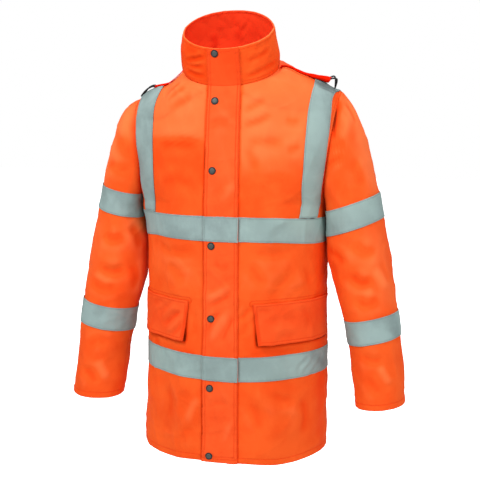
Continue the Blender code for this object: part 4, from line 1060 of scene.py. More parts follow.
def shell(name, grids, materials, right=False, closed=False, shared_rows=0):
    """A closed shell over one grid, or over two that share the first grid's last column with the
    second's first. Each grid is a dict of outer and inner points, UV maps and tone."""
    quads, vertex_of, outer, inner, tone, uvs = [], [], [], [], [], {}
    corners_used = vertices_used = 0
    for number, grid in enumerate(grids):
        shape = grid["outer"].shape[:2]
        faces, vertex = grid_corners(shape, closed)
        vertex = vertex + vertices_used
        if number:
            own = vertex.reshape(shape)
            own[:shared_rows, 0] = before[:shared_rows, -1]
            vertex = own.ravel()
        before = vertex.reshape(shape[0], -1)
        quads.append(faces + corners_used)
        vertex_of.append(vertex)
        corners_used += len(vertex)
        vertices_used += shape[0] * shape[1]
        outer.append(grid["outer"].reshape(-1, 3))
        inner.append(grid["inner"].reshape(-1, 3))
        tone.append(grid["tone"].ravel())
        for key in ("Cloth", "Stitch"):
            uvs.setdefault(key, []).append(grid[key].reshape(-1, 2))
    quads, vertex_of = np.concatenate(quads), np.concatenate(vertex_of)
    outer, inner, tone = np.concatenate(outer), np.concatenate(inner), np.concatenate(tone)
    used, vertex_of = np.unique(vertex_of, return_inverse=True)
    outer, inner, tone = outer[used], inner[used], tone[used]
    count = len(used)
    edges = np.concatenate([np.stack([quads[:, k], quads[:, (k + 1) % 4]], axis=-1) for k in range(4)])
    ends = vertex_of[edges]
    alone = ~np.isin(ends[:, 0] * count + ends[:, 1], ends[:, 1] * count + ends[:, 0])
    rim, rim_ends = edges[alone], ends[alone]
    first, second = rim_ends.T
    rim_faces = np.stack([second, first, first + count, second + count], axis=-1)
    faces = np.concatenate([vertex_of[quads], vertex_of[quads][:, ::-1] + count, rim_faces])
    face_corners = np.concatenate([quads, quads[:, ::-1], rim[:, [1, 0, 0, 1]]])
    corner_uvs = {key: np.concatenate(values)[face_corners] for key, values in uvs.items()}
    vertices = np.concatenate([outer, inner])
    if right:
        vertices = vertices * MIRROR
    inside = slice(len(quads), 2 * len(quads) if len(materials) > 1 else len(quads))
    return link(name, vertices, faces, corner_uvs, np.concatenate([tone, tone]), inside, materials)


def surface(name, points, materials, right=False, tone=0.0):
    """A closed surface over a grid that closes round its rows, with no inside. Its map runs a fixed
    width round each row and in metres along the columns."""
    faces, vertex_of = grid_corners(points.shape[:2], True)
    if right:
        points = points * MIRROR
    wide = points.shape[1] + 1
    across = np.linspace(0.0, ROUND_MAP_WIDTH, wide)[None].repeat(len(points), axis=0)
    along = runs(points, 0)[:, :1].repeat(wide, axis=1)
    uvs = np.stack([across, along], axis=-1).reshape(-1, 2)[faces]
    vertices = points.reshape(-1, 3)
    tones = np.broadcast_to(tone, points.shape[:2]).ravel()
    maps = {"Cloth": uvs, "Stitch": uvs}
    return link(name, vertices, vertex_of[faces], maps, tones, slice(0), materials)


def stitch_field(points, seams):
    """For each point the distance from the nearest seam, less that seam's own inset, and the run."""
    away, run = np.full(points.shape[:2], 1.0), np.zeros(points.shape[:2])
    for line, inset in seams:
        distance, along = to_line(points, line)
        distance = distance - inset
        nearer = distance < away
        away, run = np.where(nearer, distance, away), np.where(nearer, along, run)
    return np.stack([away, run], axis=-1)


SEAM_ROLL = 0.0016  # how far from its seam a sewn edge rolls down


def round_edge(away, radius):
    """How far a rounded edge falls short of the full height, 1 at the edge and 0 from `radius` on."""
    t = 1 - np.clip(away / radius, 0.0, 1.0)
    return 1 - np.sqrt(np.clip(1 - t * t, 0.0, 1.0))


def metres_map(points):
    """A map of a grid: how far along its row and its column each point lies."""
    return np.stack([runs(points, 1), runs(points, 0)], axis=-1)


def sheet_grid(points, normals, wall, lift=0.0, free=(), sewn=(), seams=None, closed=False, tone=0.0):
    """The outer and inner points of a piece of cloth on a grid, with rounded free edges and with sewn
    edges that roll down into their seam; and its UV maps, in metres. `free` pairs each line with how
    much thicker a turned-up hem makes it there, `sewn` with how deep it rolls down, `seams` with the
    distance from which its rows of stitches are counted."""
    outer_off = np.full(points.shape[:2], float(wall)) + lift
    inner_off = np.zeros(points.shape[:2]) + lift
    for line, turned_up in free:
        away, _ = to_line(points, line)
        fall = round_edge(away, wall * 0.5) * wall * 0.45
        outer_off += turned_up * (1 - eased(away, *HEM_TURN)) - fall
        inner_off += fall
    for line, depth in sewn:
        away, run = to_line(points, line)
        outer_off -= depth * bell(away, SEAM_ROLL)
        outer_off += puckers(away, run, 11, wave=0.008, height=depth * 0.22, reach=0.009)
    if seams is None:
        seams = [(line, 0.0) for line, _ in (*free, *sewn)]
    extended = columns_again(points) if closed else points
    return {
        "outer": points + outer_off[..., None] * normals,
        "inner": points + inner_off[..., None] * normals,
        "tone": np.broadcast_to(tone, points.shape[:2]),
        "Cloth": metres_map(extended),
        "Stitch": stitch_field(extended, seams),
    }


def wall_grid(points, normals, wall, **kind):
    """The same for cloth whose outer face lies on the grid, as a body panel's does."""
    return sheet_grid(points, normals, wall, lift=-wall, **kind)


def cut_of(points, closed=False):
    """Greatest width and length along a grid's rows and columns, and its area."""
    extended = columns_again(points) if closed else points
    a, b, c, d = extended[:-1, :-1], extended[:-1, 1:], extended[1:, 1:], extended[1:, :-1]
    area = np.linalg.norm(np.cross(c - a, d - b), axis=-1).sum() / 2
    return runs(extended, 1)[:, -1].max(), runs(extended, 0)[-1].max(), area


def enter(thing, node):
    """Puts a piece in the frame: the node it replaces, what it rides and its finish."""
    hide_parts(node)
    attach(thing, "root")


def declare(thing, points, node, closed=False):
    """Puts a cloth piece in the frame, with its cut and how it is held."""
    enter(thing, node)
    width, length, area = cut_of(points, closed)
    area = min(area, width * length)


# --- shader groups and materials ---------------------------------------------------------------


def add(tree, kind, inputs=(), **settings):
    """A shader node with its settings, whose inputs are values or other nodes' outputs."""
    made = tree.nodes.new(kind)
    for key, value in settings.items():
        setattr(made, key, value)
    for key, value in dict(inputs).items():
        if isinstance(value, bpy.types.NodeSocket):
            tree.links.new(value, made.inputs[key])
        else:
            made.inputs[key].default_value = value
    return made


def sums(tree, operation, *values):
    """The output of a math node on these values."""
    return add(tree, "ShaderNodeMath", dict(enumerate(values)), operation=operation).outputs[0]


def ramp(tree, value, low, high, least=0.0):
    """`least` below `low` and 1 above `high`, smooth between, or the other way round if high is lower."""
    to = (1.0, least) if high < low else (least, 1.0)
    ends = {"From Min": min(low, high), "From Max": max(low, high), "To Min": to[0], "To Max": to[1]}
    made = add(tree, "ShaderNodeMapRange", {"Value": value, **ends}, interpolation_type="SMOOTHSTEP")
    return made.outputs["Result"]


def mix(tree, factor, first, second):
    """A colour between two, each given as a colour or as a node's output."""
    node = add(tree, "ShaderNodeMix", {"Factor": factor}, data_type="RGBA")
    sockets = [socket for socket in node.inputs if socket.type == "RGBA"]
    for socket, value in zip(sockets, (first, second)):
        if isinstance(value, bpy.types.NodeSocket):
            tree.links.new(value, socket)
        else:
            socket.default_value = (*value, 1.0)
    return [socket for socket in node.outputs if socket.type == "RGBA"][0]


def new_material(name):
    """A material with its tree and its shader."""
    made = bpy.data.materials.new(name)
    made.use_nodes = True
    return made, made.node_tree, made.node_tree.nodes["Principled BSDF"]


def made_once(things):
    """Makes the result of a function the one material or group of its name, found again later."""

    def wrap(build):
        return lambda name: getattr(bpy.data, things).get(name) or build(name)

    return wrap


def new_group(name, inputs, outputs):
    """A shader group with the sockets in two tables: inputs with kind and default, outputs by name."""
    tree = bpy.data.node_groups.new(name, "ShaderNodeTree")
    for socket, kind, value in inputs:
        made = tree.interface.new_socket(socket, in_out="INPUT", socket_type=kind)
        if value is not None:
            made.default_value = value
    for socket in outputs:
        tree.interface.new_socket(socket, in_out="OUTPUT", socket_type="NodeSocketFloat")
    return tree, tree.nodes.new("NodeGroupInput"), tree.nodes.new("NodeGroupOutput")


@made_once("node_groups")
def stitch_group(name):
    """Rows of stitches at given distances from a seam: the thread's dashes and the groove they pull."""
    inputs = (
        ("Place", "NodeSocketVector", None),
        ("Row 1", "NodeSocketFloat", 0.006),
        ("Row 2", "NodeSocketFloat", -1.0),
        ("Pitch", "NodeSocketFloat", 0.0034),
    )
    tree, given, made = new_group(name, inputs, ("Thread", "Groove"))
    place_at = add(tree, "ShaderNodeSeparateXYZ", {"Vector": given.outputs["Place"]})
    half = sums(tree, "MULTIPLY", given.outputs["Pitch"], 0.5)
    swing = sums(tree, "PINGPONG", place_at.outputs["Y"], half)
    dash = ramp(tree, sums(tree, "DIVIDE", swing, half), 0.12, 0.3)
    threads, grooves = [], []
    for row in ("Row 1", "Row 2"):
        off = sums(tree, "ABSOLUTE", sums(tree, "SUBTRACT", place_at.outputs["X"], given.outputs[row]))
        threads.append(sums(tree, "MULTIPLY", ramp(tree, off, 0.0006, 0.0003), dash))
        grooves.append(ramp(tree, off, 0.0017, 0.0003))
    tree.links.new(sums(tree, "MAXIMUM", *threads), made.inputs["Thread"])
    tree.links.new(sums(tree, "MAXIMUM", *grooves), made.inputs["Groove"])
    return tree


@made_once("node_groups")
def weave_group(name):
    """The height of a fine plain weave under an uneven coating, from a map in metres."""
    inputs = (("Place", "NodeSocketVector", None), ("Thread", "NodeSocketFloat", 0.0009))
    tree, given, made = new_group(name, inputs, ("Height",))
    where = given.outputs["Place"]
    place_at = add(tree, "ShaderNodeSeparateXYZ", {"Vector": where})
    turns = sums(tree, "DIVIDE", 2 * math.pi, given.outputs["Thread"])
    waves = [sums(tree, "SINE", sums(tree, "MULTIPLY", place_at.outputs[axis], turns)) for axis in ("X", "Y")]
    crossed = sums(tree, "MULTIPLY", *waves)
    coating = add(tree, "ShaderNodeTexNoise", {"Vector": where, "Scale": 260.0, "Detail": 3.0})
    height = sums(tree, "ADD", sums(tree, "MULTIPLY", crossed, 0.25), coating.outputs["Fac"])
    tree.links.new(height, made.inputs["Height"])
    return tree


@made_once("node_groups")
def patch_group(name):
    """Large soft patches where dye and wear differ a little."""
    inputs = (("Place", "NodeSocketVector", None), ("Scale", "NodeSocketFloat", 15.0))
    tree, given, made = new_group(name, inputs, ("Amount",))
    kind = {key: given.outputs[socket] for key, socket in (("Vector", "Place"), ("Scale", "Scale"))}
    broad = add(tree, "ShaderNodeTexNoise", {**kind, "Detail": 5.0, "Roughness": 0.58})
    tree.links.new(ramp(tree, broad.outputs["Fac"], 0.36, 0.66), made.inputs["Amount"])
    return tree


CLOTHS = {
    # name: colour, shade colour (painted shade, soft patches and grooves), light colour (painted light
    # and threads), rows of stitches in millimetres from their seam, roughness, specular
    "orange_shell_cloth": (
        (0.8, 0.096, 0.015), (0.74, 0.046, 0.004), (0.86, 0.16, 0.044),
        (6, -1000), 0.62, 0.02,
    ),
    "orange_flap_cloth": (
        (0.8, 0.09, 0.018), (0.74, 0.046, 0.006), (0.86, 0.15, 0.044),
        (6.5, 1.6), 0.62, 0.02,
    ),
    # the inside's redder, deeper colour is painted shade and bounce light from the orange cloth around it
    "orange_inside_cloth": (
        (1.0, 0.068, 0.018), (0.85, 0.036, 0.01), (1.0, 0.09, 0.03),
        (6, -1000), 0.7, 0.01,
    ),
    "orange_strap_cloth": (
        (0.74, 0.01, 0.001), (0.5, 0.005, 0.001), (0.85, 0.06, 0.01),
        (2, -1000), 0.65, 0.0,
    ),
    "reflective_tape_cloth": (
        (0.255, 0.34, 0.33), (0.125, 0.155, 0.155), (0.31, 0.42, 0.39),
        (2.6, -1000), 0.62, 0.1,
    ),
}
PATCH_SHADE = 0.42  # how much of the shade's colour the soft patches bring
GROOVE_SHADE = 0.85  # and the stitched grooves
TAPE_GROOVE_SHADE = 0.30  # and those of the tapes
THREAD_LIGHT = 0.25  # how much of the light colour the threads have
DEEP_SHARE = 0.30  # how much is left of the shade's colour in seams and under edges
# heights of weave, grooves and threads, as shares of the bump's full height
WEAVE_HEIGHT, GROOVE_DEPTH, THREAD_HEIGHT = 0.12, 0.8, 0.9
# the snap's colour, and the painted shade on its cap's outer ring
SNAP_COLOUR, SNAP_RING_SHADE_COLOUR = (0.075, 0.085, 0.083), (0.016, 0.018, 0.018)
CORD_COLOUR = (0.012, 0.012, 0.014, 1.0)


@made_once("materials")
def coated_cloth(name):
    """Coated cloth: its colour changes softly with patches and tone, and its rows of stitches pull
    a shallow groove."""
    colour, shade, light, stitch_rows, roughness, specular = CLOTHS[name]
    made, tree, shader = new_material(name)
    where = add(tree, "ShaderNodeTexCoord").outputs["Object"]
    maps = {key: add(tree, "ShaderNodeUVMap", uv_map=key).outputs["UV"] for key in ("Cloth", "Stitch")}
    tone = add(tree, "ShaderNodeAttribute", attribute_name="Tone").outputs["Fac"]
    patches = add(tree, "ShaderNodeGroup", node_tree=patch_group("Soft patches"))
    tree.links.new(where, patches.inputs["Place"])
    weave = add(tree, "ShaderNodeGroup", node_tree=weave_group("Coated weave"))
    tree.links.new(maps["Cloth"], weave.inputs["Place"])
    rows = add(tree, "ShaderNodeGroup", node_tree=stitch_group("Stitch rows"))
    tree.links.new(maps["Stitch"], rows.inputs["Place"])
    rows.inputs["Row 1"].default_value, rows.inputs["Row 2"].default_value = metres(stitch_rows)

    groove_shade = TAPE_GROOVE_SHADE if "tape" in name else GROOVE_SHADE
    base = mix(tree, sums(tree, "MULTIPLY", patches.outputs["Amount"], PATCH_SHADE), colour, shade)
    # painted light where the tone is above nothing, painted shade below it, and deep painted shade below -1
    base = mix(tree, ramp(tree, tone, 0.0, 1.0), base, light)
    base = mix(tree, ramp(tree, tone, 0.0, -1.0), base, shade)
    base = mix(tree, ramp(tree, tone, -1.0, -2.0), base, [DEEP_SHARE * value for value in shade])
    # painted shade in the stitched grooves
    base = mix(tree, sums(tree, "MULTIPLY", rows.outputs["Groove"], groove_shade), base, shade)
    base = mix(tree, sums(tree, "MULTIPLY", rows.outputs["Thread"], THREAD_LIGHT), base, light)
    tree.links.new(base, shader.inputs["Base Color"])
    height = sums(tree, "MULTIPLY", weave.outputs["Height"], WEAVE_HEIGHT)
    height = sums(tree, "SUBTRACT", height, sums(tree, "MULTIPLY", rows.outputs["Groove"], GROOVE_DEPTH))
    height = sums(tree, "ADD", height, sums(tree, "MULTIPLY", rows.outputs["Thread"], THREAD_HEIGHT))
    bump = add(tree, "ShaderNodeBump", {"Height": height, "Distance": 0.0005, "Strength": 0.7})
    tree.links.new(bump.outputs["Normal"], shader.inputs["Normal"])
    shader.inputs["Roughness"].default_value = roughness
    shader.inputs["Specular IOR Level"].default_value = specular
    return made


@made_once("materials")
def snap_metal(name):
    """Dull gunmetal with a fine uneven shine, darker in the cap's outer ring."""
    made, tree, shader = new_material(name)
    where = add(tree, "ShaderNodeTexCoord").outputs["Object"]
    noise = add(tree, "ShaderNodeTexNoise", {"Vector": where, "Scale": 900.0, "Detail": 2.0})
    span = {"From Min": 0.3, "From Max": 0.7, "To Min": 0.50, "To Max": 0.62}
    rough = add(tree, "ShaderNodeMapRange", {"Value": noise.outputs["Fac"], **span})
    tree.links.new(rough.outputs["Result"], shader.inputs["Roughness"])
    # the Tone attribute marks the cap's outer ring, which gets painted shade
    ring = add(tree, "ShaderNodeAttribute", attribute_name="Tone").outputs["Fac"]
    tree.links.new(mix(tree, ring, SNAP_COLOUR, SNAP_RING_SHADE_COLOUR), shader.inputs["Base Color"])
    shader.inputs["Metallic"].default_value = 0.6
    return made


@made_once("materials")
def loop_cord(name):
    """Braided black cord: two sets of slanted strands in the bump."""
    made, tree, shader = new_material(name)
    uv = add(tree, "ShaderNodeUVMap", uv_map="Cloth").outputs["UV"]
    at = add(tree, "ShaderNodeSeparateXYZ", {"Vector": uv})
    strands = []
    for sign in (1.0, -1.0):
        slanted = sums(tree, "ADD", sums(tree, "MULTIPLY", at.outputs["X"], sign * 0.5), at.outputs["Y"])
        strands.append(sums(tree, "SINE", sums(tree, "MULTIPLY", slanted, 2 * math.pi / 0.0025)))
    height = sums(tree, "MAXIMUM", *strands)
    bump = add(tree, "ShaderNodeBump", {"Height": height, "Distance": 0.0002, "Strength": 0.8})
    tree.links.new(bump.outputs["Normal"], shader.inputs["Normal"])
    shader.inputs["Base Color"].default_value = CORD_COLOUR
    shader.inputs["Roughness"].default_value = 0.7
    shader.inputs["Specular IOR Level"].default_value = 0.3
    return made


# --- pieces ------------------------------------------------------------------------------------

MADE = {}


def jacket():
    """The jacket's grids, made once for each strength of creasing."""
    creasing = bpy.context.scene.jacket_cloth.creasing
    if creasing not in MADE:
        MADE[creasing] = Jacket(creasing)
    return MADE[creasing]


FLAP_SHADE = {"left": 1.3, "right": 2.0}  # how much deeper a front is beside the storm flap
UNDER_POCKET_SHADE = 1.7  # below a pocket flap's lower edge
OVER_POCKET_SHADE = 0.5  # at its top edge
HEM_THICKER = 0.0005  # how much thicker a turned-up hem is
HEM_STITCHES = 0.0065  # how much further in its rows of stitches lie than those of a seam
# an edge of a grid and its neighbour
BY_SIDE_SEAM = (np.s_[:, -1], np.s_[:, -2])
BY_LAST_ROW = (np.s_[-1], np.s_[-2])


def lined(name):
    """The finishes of a shell's outside and inside."""
    return [coated_cloth(name), coated_cloth("orange_inside_cloth")]


def cloth_at(grid, normals, rows, columns):
    """A piece's points and normals at fractional rows and columns."""
    return on_grid(grid, rows, columns), unit(on_grid(normals, rows, columns))


def drawn_back(grid, edges, gap=SEAM_GAP / 2):
    """A copy of a grid whose sewn edges, given as pairs of edge and neighbour, stand back a little."""
    grid = grid.copy()
    for edge, neighbour in edges:
        step = grid[neighbour] - grid[edge]
        grid[edge] += gap * step / np.maximum(np.linalg.norm(step, axis=-1, keepdims=True), 1e-9)
    return grid


def half_panel(made, side, in_front):
    """The grid of a front or of half the back, and its outer points. They are drawn back a little at
    the shoulder seam and at the outer edge, but the inside stays where it was."""
    front, back = made.halves(side)
    points, normals = front if in_front else back
    ring, neck = again(armhole(front[0], back[0])), neckline(front[0], back[0])
    sewn = [(points[: ARMPIT + 1, -1], 0.0007), (ring, 0.0010), (points[-1], 0.0006), (neck, 0.0007)]
    seams = [(points[0], HEM_STITCHES), *[(line, 0.0) for line, _ in sewn[:3]]]
    drawn = drawn_back(points, [BY_LAST_ROW, BY_SIDE_SEAM])
    inside_by = points - drawn
    if in_front:
        seams.append((pocket_line(points), 0.0))
        drawn[: NECK + 1, 0, 0] = FRONT_SPLIT
    true = drawn * FLIP[side]
    # painted light and shade: the listed patches, the creases' ridges and troughs, the upper chest's light
    # and the shadows by the flaps
    tone = toned(true, "body") + crease_shading(true, "body")
    if in_front:
        tone += chest_painted_light(true, side) + edge_shade(true, side)
    edges = {"free": [(points[0], HEM_THICKER)], "sewn": sewn, "seams": seams}
    grid = wall_grid(drawn, normals, SHELL_WALL, tone=tone, **edges)
    grid["inner"] += inside_by
    return grid, drawn


def pocket_line(grid):
    """The line along a pocket flap's top edge, from its inner to its outer end."""
    row = number_at(POCKET_TOP, HEIGHTS)
    start = number_at(POCKET_INNER_TOP, grid[int(row), :, 0])
    return on_grid(grid, np.array(row), np.linspace(start, number_at(POCKET_OUTER_SHARE, SHARES), 40))


def pocket_inner(down):
    """How far from the middle a pocket flap's inner edge is, at shares of the way down it."""
    return POCKET_INNER_TOP + (POCKET_INNER_BOTTOM - POCKET_INNER_TOP) * down


def flap_free_edge(heights):
    """How far from the middle the storm flap's free edge is at these heights."""
    return np.interp(heights, (HEM, -NECK_TILT), (FLAP_FREE_HEM, FLAP_FREE_TOP))


def edge_shade(points, side):
    """Grime and deep shade on a front beside the storm flap's edge and below the pocket flap."""
    x, z = np.abs(points[..., 0]), points[..., 2]
    flap_edge = np.abs(flap_free_edge(z)) if side == "right" else FLAP_SEWN_EDGE
    beside = FLAP_SHADE[side] * bell(np.maximum(x - flap_edge, 0.0), 0.0026)
    down = (POCKET_TOP - z) / POCKET_DROP
    inner = pocket_inner(np.clip(down, 0.0, 1.0))
    under = bell(np.maximum(down - 1.0, 0.0) * POCKET_DROP, 0.0045) * eased(down, 0.0, 1.0)
    past = bell(np.maximum(inner - x, 0.0), 0.0035) * eased(down, 0.1, 0.9)
    over = bell(np.minimum(down, 0.0) * POCKET_DROP, 0.0016) * (down < 1.0)
    within = eased(x, inner - 0.012, inner)
    return -beside - within * (UNDER_POCKET_SHADE * under * past + OVER_POCKET_SHADE * over)


def build_fronts():
    """Each front is its half panel's grid, from the storm flap's middle to the side seam."""
    made = jacket()
    for side, right in SIDES:
        grid, points = half_panel(made, side, True)
        name = f"front_{side}"
        thing = shell(name + "_cloth", [grid], lined("orange_shell_cloth"), right)
        declare(thing, points, name)


def build_back():
    """One piece, whose halves share their points on the middle line up to the neck."""
    made = jacket()
    grids, cuts = [], []
    for side, right in SIDES:
        grid, points = half_panel(made, side, False)
        for key in ("outer", "inner"):
            grid[key] = grid[key] * FLIP[side]
        if not right:
            grid = {key: values[:, ::-1] for key, values in grid.items()}
        grids.append(grid)
        cuts.append(cut_of(points))
    thing = shell("back_cloth", grids, lined("orange_shell_cloth"), shared_rows=NECK + 1)
    enter(thing, "back")


def build_sleeves():
    """Each sleeve is a closed grid from cuff to armhole, with one seam under the arm."""
    made = jacket()
    for side, right in SIDES:
        points = drawn_back(made.sleeve[side], [BY_LAST_ROW], SEAM_GAP)
        cuff, ring, under = again(points[0]), again(made.sleeve[side][-1]), points[:, 0]
        true = points * FLIP[side]
        edges = {
            "free": [(cuff, HEM_THICKER)],
            "sewn": [(ring, 0.0010), (under, 0.0006)],
            "seams": [(cuff, HEM_STITCHES), (under, 0.0)],
            # painted light and shade from the listed patches and from the creases' ridges and troughs
            "tone": toned(true, "sleeve") + crease_shading(true, "sleeve"),
        }
        grid = wall_grid(points, made.sleeve_n[side], SHELL_WALL, closed=True, **edges)
        grid["inner"] += made.sleeve[side] - points
        name = f"sleeve_{side}"
        thing = shell(name + "_cloth", [grid], lined("orange_shell_cloth"), right, closed=True)
        declare(thing, points, name, closed=True)


def whole_collar(half):
    """The collar's left half and its mirrored right half as one grid, front to back to front."""
    return np.concatenate([half, (half * MIRROR)[:, ::-1][:, 1:]], axis=1)


def build_collar():
    """The collar's rim is puckered, and its right side bulges and hangs as the right shoulder does."""
    made = jacket()
    half = drawn_back(made.collar, [(np.s_[0], np.s_[1])], SEAM_GAP)
    half[:, 0, 0] = FRONT_SPLIT
    points, normals = whole_collar(half), whole_collar(made.collar_n)
    moved = made.creasing * (creased(points, "collar") + undulation(points, 8) + crumple(points, 9))
    away, run = to_line(points, points[0])
    moved = moved * eased(away, 0.0, 0.02) + puckers(away, run, 4)
    moved += puckers(*to_line(points, points[-1]), 21, wave=0.015, height=0.0009, reach=0.018)
    level = np.linspace(0.0, 1.0, len(points))[:, None]
    moved += COLLAR_BULGE * bell(points[..., 0] + 0.095, 0.035) * np.sin(np.pi * level**0.8)
    points = points + moved[..., None] * normals
    low = 1 - eased(np.arange(len(points)) / len(points), 0.0, 0.4)[:, None]
    fallen = hung(points * MIRROR)[..., 2] - points[..., 2]
    points[..., 2] += np.where(points[..., 0] < 0, low * fallen, 0.0)
    free, sewn = [(points[-1], 0.0)], [(points[0], 0.0006)]
    seams = [(points[-1], 0.0), (points[0], 0.0)]
    # painted light and shade from the listed patches and from the creases' ridges and troughs
    tone = toned(points, "collar") + crease_shading(points, "collar")
    # a painted highlight along the rim
    tone = tone + RIM_LIGHT * bell(to_line(points, points[-1])[0], 0.0016)
    grid = wall_grid(points, normals, COLLAR_WALL, free=free, sewn=sewn, seams=seams, tone=tone)
    thing = shell("collar_cloth", [grid], lined("orange_shell_cloth"))
    declare(thing, points, "collar")


def tape(node, points, normals, lift, right=False, closed=False, ends=(True, True)):
    """A reflective tape on a grid, stitched along both edges, with small puckers between."""
    loops = [again(line) if closed else line for line in (points[0], points[-1])]
    free = [(line, 0.0) for line in loops]
    if not closed:
        free += [(points[:, k], 0.0) for k, end in zip((0, -1), ends) if end]
    away, run = to_line(points, loops[0])
    wave = puckers(away, run, 31, wave=0.0165, height=0.00022, reach=0.05)
    uneven = 0.6 + 0.4 * np.sin(run * 2 * np.pi / 0.083) * np.sin(run * 2 * np.pi / 0.031)
    # painted light and shade on the tape from the listed patches
    tone = toned(points * (MIRROR if right else 1.0), "tape")
    for line in loops:
        tone = tone - TAPE_EDGE_SHADE * uneven * bell(to_line(points, line)[0], 0.0011)
    grid = sheet_grid(points, normals, TAPE_WALL, lift, free=free, closed=closed, tone=tone)
    grid["outer"] += wave[..., None] * normals
    thing = shell(node + "_band", [grid], [coated_cloth("reflective_tape_cloth")], right, closed)
    declare(thing, points, node, closed)


BODY_TAPES = (("chest", CHEST_TAPE_TOP), ("lower", LOWER_TAPE_TOP))
TAPE_ROWS = steps(21, 0.006, 0.018)


def tape_rows(top):
    """The fractional rows of a body grid at which a tape with its top edge at this height has its own."""
    return number_at(top - TAPE_WIDTH + TAPE_WIDTH * TAPE_ROWS, HEIGHTS)[:, None]


def dropped(rows, grid, columns, side):
    """The chest tape's rows at these columns, moved down by the table of drops."""
    away, top, bottom = metres(CHEST_DROP[side]).T
    last = len(HEIGHTS) - 1
    x = on_grid(grid, np.array(float(last)), np.asarray(columns, float))[..., 0]
    low, high = np.interp(x, away, bottom), np.interp(x, away, top)
    return rows - (low + (high - low) * TAPE_ROWS[:, None]) / ROW_SPACING


def body_band(level, part, rows, columns, side):
    """A body tape's points and normals on a side's front or back, drawn back at the side seam."""
    grid, normals = part
    lower = dropped(rows, grid, columns, side) if level == "chest" else rows
    points, out = cloth_at(grid, normals, lower, columns)
    return drawn_back(points, [BY_SIDE_SEAM]), out


def build_body_tapes():
    """Two level bands, each on both fronts and, as one piece, on the back."""
    made = jacket()
    for level, top in BODY_TAPES:
        rows = tape_rows(top)
        halves = []
        for side, right in SIDES:
            front, back = made.halves(side)
            start = number_at(TAPE_START_RIGHT if right else TAPE_START_LEFT, front[0][int(rows[0, 0]), :, 0])
            columns = np.append(np.arange(np.floor(start) + 1, len(SHARES)), [start, start + 0.2])
            points, out = body_band(level, front, rows, np.unique(columns), side)
            name = f"{level}_tape_front_{side}"
            tape(name, points, out, SEAM_GAP, right, ends=(True, False))
            points, out = body_band(level, back, rows, np.arange(len(SHARES)), side)
            halves.append((points * FLIP[side], out * FLIP[side]))
        points, out = (np.concatenate([left[:, ::-1], right[:, 1:]], axis=1) for left, right in zip(*halves))
        tape(f"{level}_tape_back", points, out, SEAM_GAP, ends=(False, False))


def shoulder_columns(grid, rows, side):
    """Fractional columns of a shoulder tape's lines: its inner edge and a tape's width from it."""
    heights, inner = np.array(SHOULDER_TAPE_INNER).T
    course = metres(SHOULDER_TAPE_COURSE[side]).T
    columns = []
    for row in rows:
        low = int(min(row, grid.shape[0] - 2))
        line = grid[low] * (1 - (row - low)) + grid[low + 1] * (row - low)
        height = np.interp(inner.mean(), line[:, 0], line[:, 2])
        out, width = (np.interp(height, course[0], values) for values in course[1:])
        x_inner = np.interp(height, heights, inner) + out
        run = runs(line, 0)
        start = np.interp(x_inner, line[:, 0], run)
        end = min(start + width, run[-1] - TAPE_FROM_ARMHOLE)
        columns.append(number_at(start + (end - start) * TAPE_ROWS, run))
    return np.array(columns)


def build_shoulder_tapes():
    """Bands from the chest band's top edge over the shoulder to the same height on the back."""
    made = jacket()
    for side, right in SIDES:
        strips = []
        for grid, normals in made.halves(side):
            top = number_at(CHEST_TAPE_TOP + TAPE_BUTT, grid[: ARMPIT + 2, 0, 2])
            rows = np.append([top, top + 0.2], np.arange(np.floor(top) + 1, grid.shape[0]))
            columns = shoulder_columns(grid, rows, side)
            away, drop, _ = metres(CHEST_DROP[side]).T
            lower = np.interp(on_grid(grid, rows[:, None], columns)[..., 0], away, drop) / ROW_SPACING
            rows = rows[:, None] - lower * (1 - eased(rows, top, top + 16))[:, None]
            strips.append((on_grid(grid, rows, columns), on_grid(normals, rows, columns)))
        points, out = (np.concatenate([front, back[::-1][1:]]) for front, back in zip(*strips))
        across, out = points.transpose(1, 0, 2), unit(out).transpose(1, 0, 2)
        tape(f"shoulder_tape_{side}", across, out, SHOULDER_TAPE_LIFT, right)


def build_sleeve_tapes():
    """Tapes round a sleeve between two planes square to the arm; the upper one ends near the armpit."""
    made = jacket()
    for side, right in SIDES:
        grid, normals = columns_again(made.sleeve[side]), columns_again(made.sleeve_n[side])
        table = SLEEVES[side]
        for level, (height, lean) in SLEEVE_TAPES[side].items():
            closed = level == "fore"
            skip = 0 if closed else round(TAPE_UNDERARM_SHARE * (grid.shape[1] - 1))
            columns = np.arange(skip, grid.shape[1] - skip + (-1 if closed else 1))
            middle_x = np.interp(-height, [-row[3] for row in table], [row[1] for row in table])
            lean = np.radians(lean)
            along = (grid[..., 2] - height) * np.cos(lean) - (grid[..., 0] - middle_x) * np.sin(lean)
            low, high = (np.array([number_at(w, along[:, j]) for j in columns]) for w in (0.0, TAPE_WIDTH))
            high = np.minimum(high, len(grid) - 2.2)
            rows = low + (high - low) * TAPE_ROWS[:, None]
            points, out = cloth_at(grid, normals, rows, columns[None].astype(float))
            name = f"sleeve_tape_{level}_{side}"
            tape(name, points, out, TAPE_LIFT, right, closed)


FLAP_SHARES = steps(29, 0.012, 0.024)


def flap_lines(heights):
    """Distances from the middle of the storm flap's lines, from its free edge to its sewn edge."""
    free = flap_free_edge(heights)[:, None]
    return free + (FLAP_SEWN_EDGE - free) * FLAP_SHARES


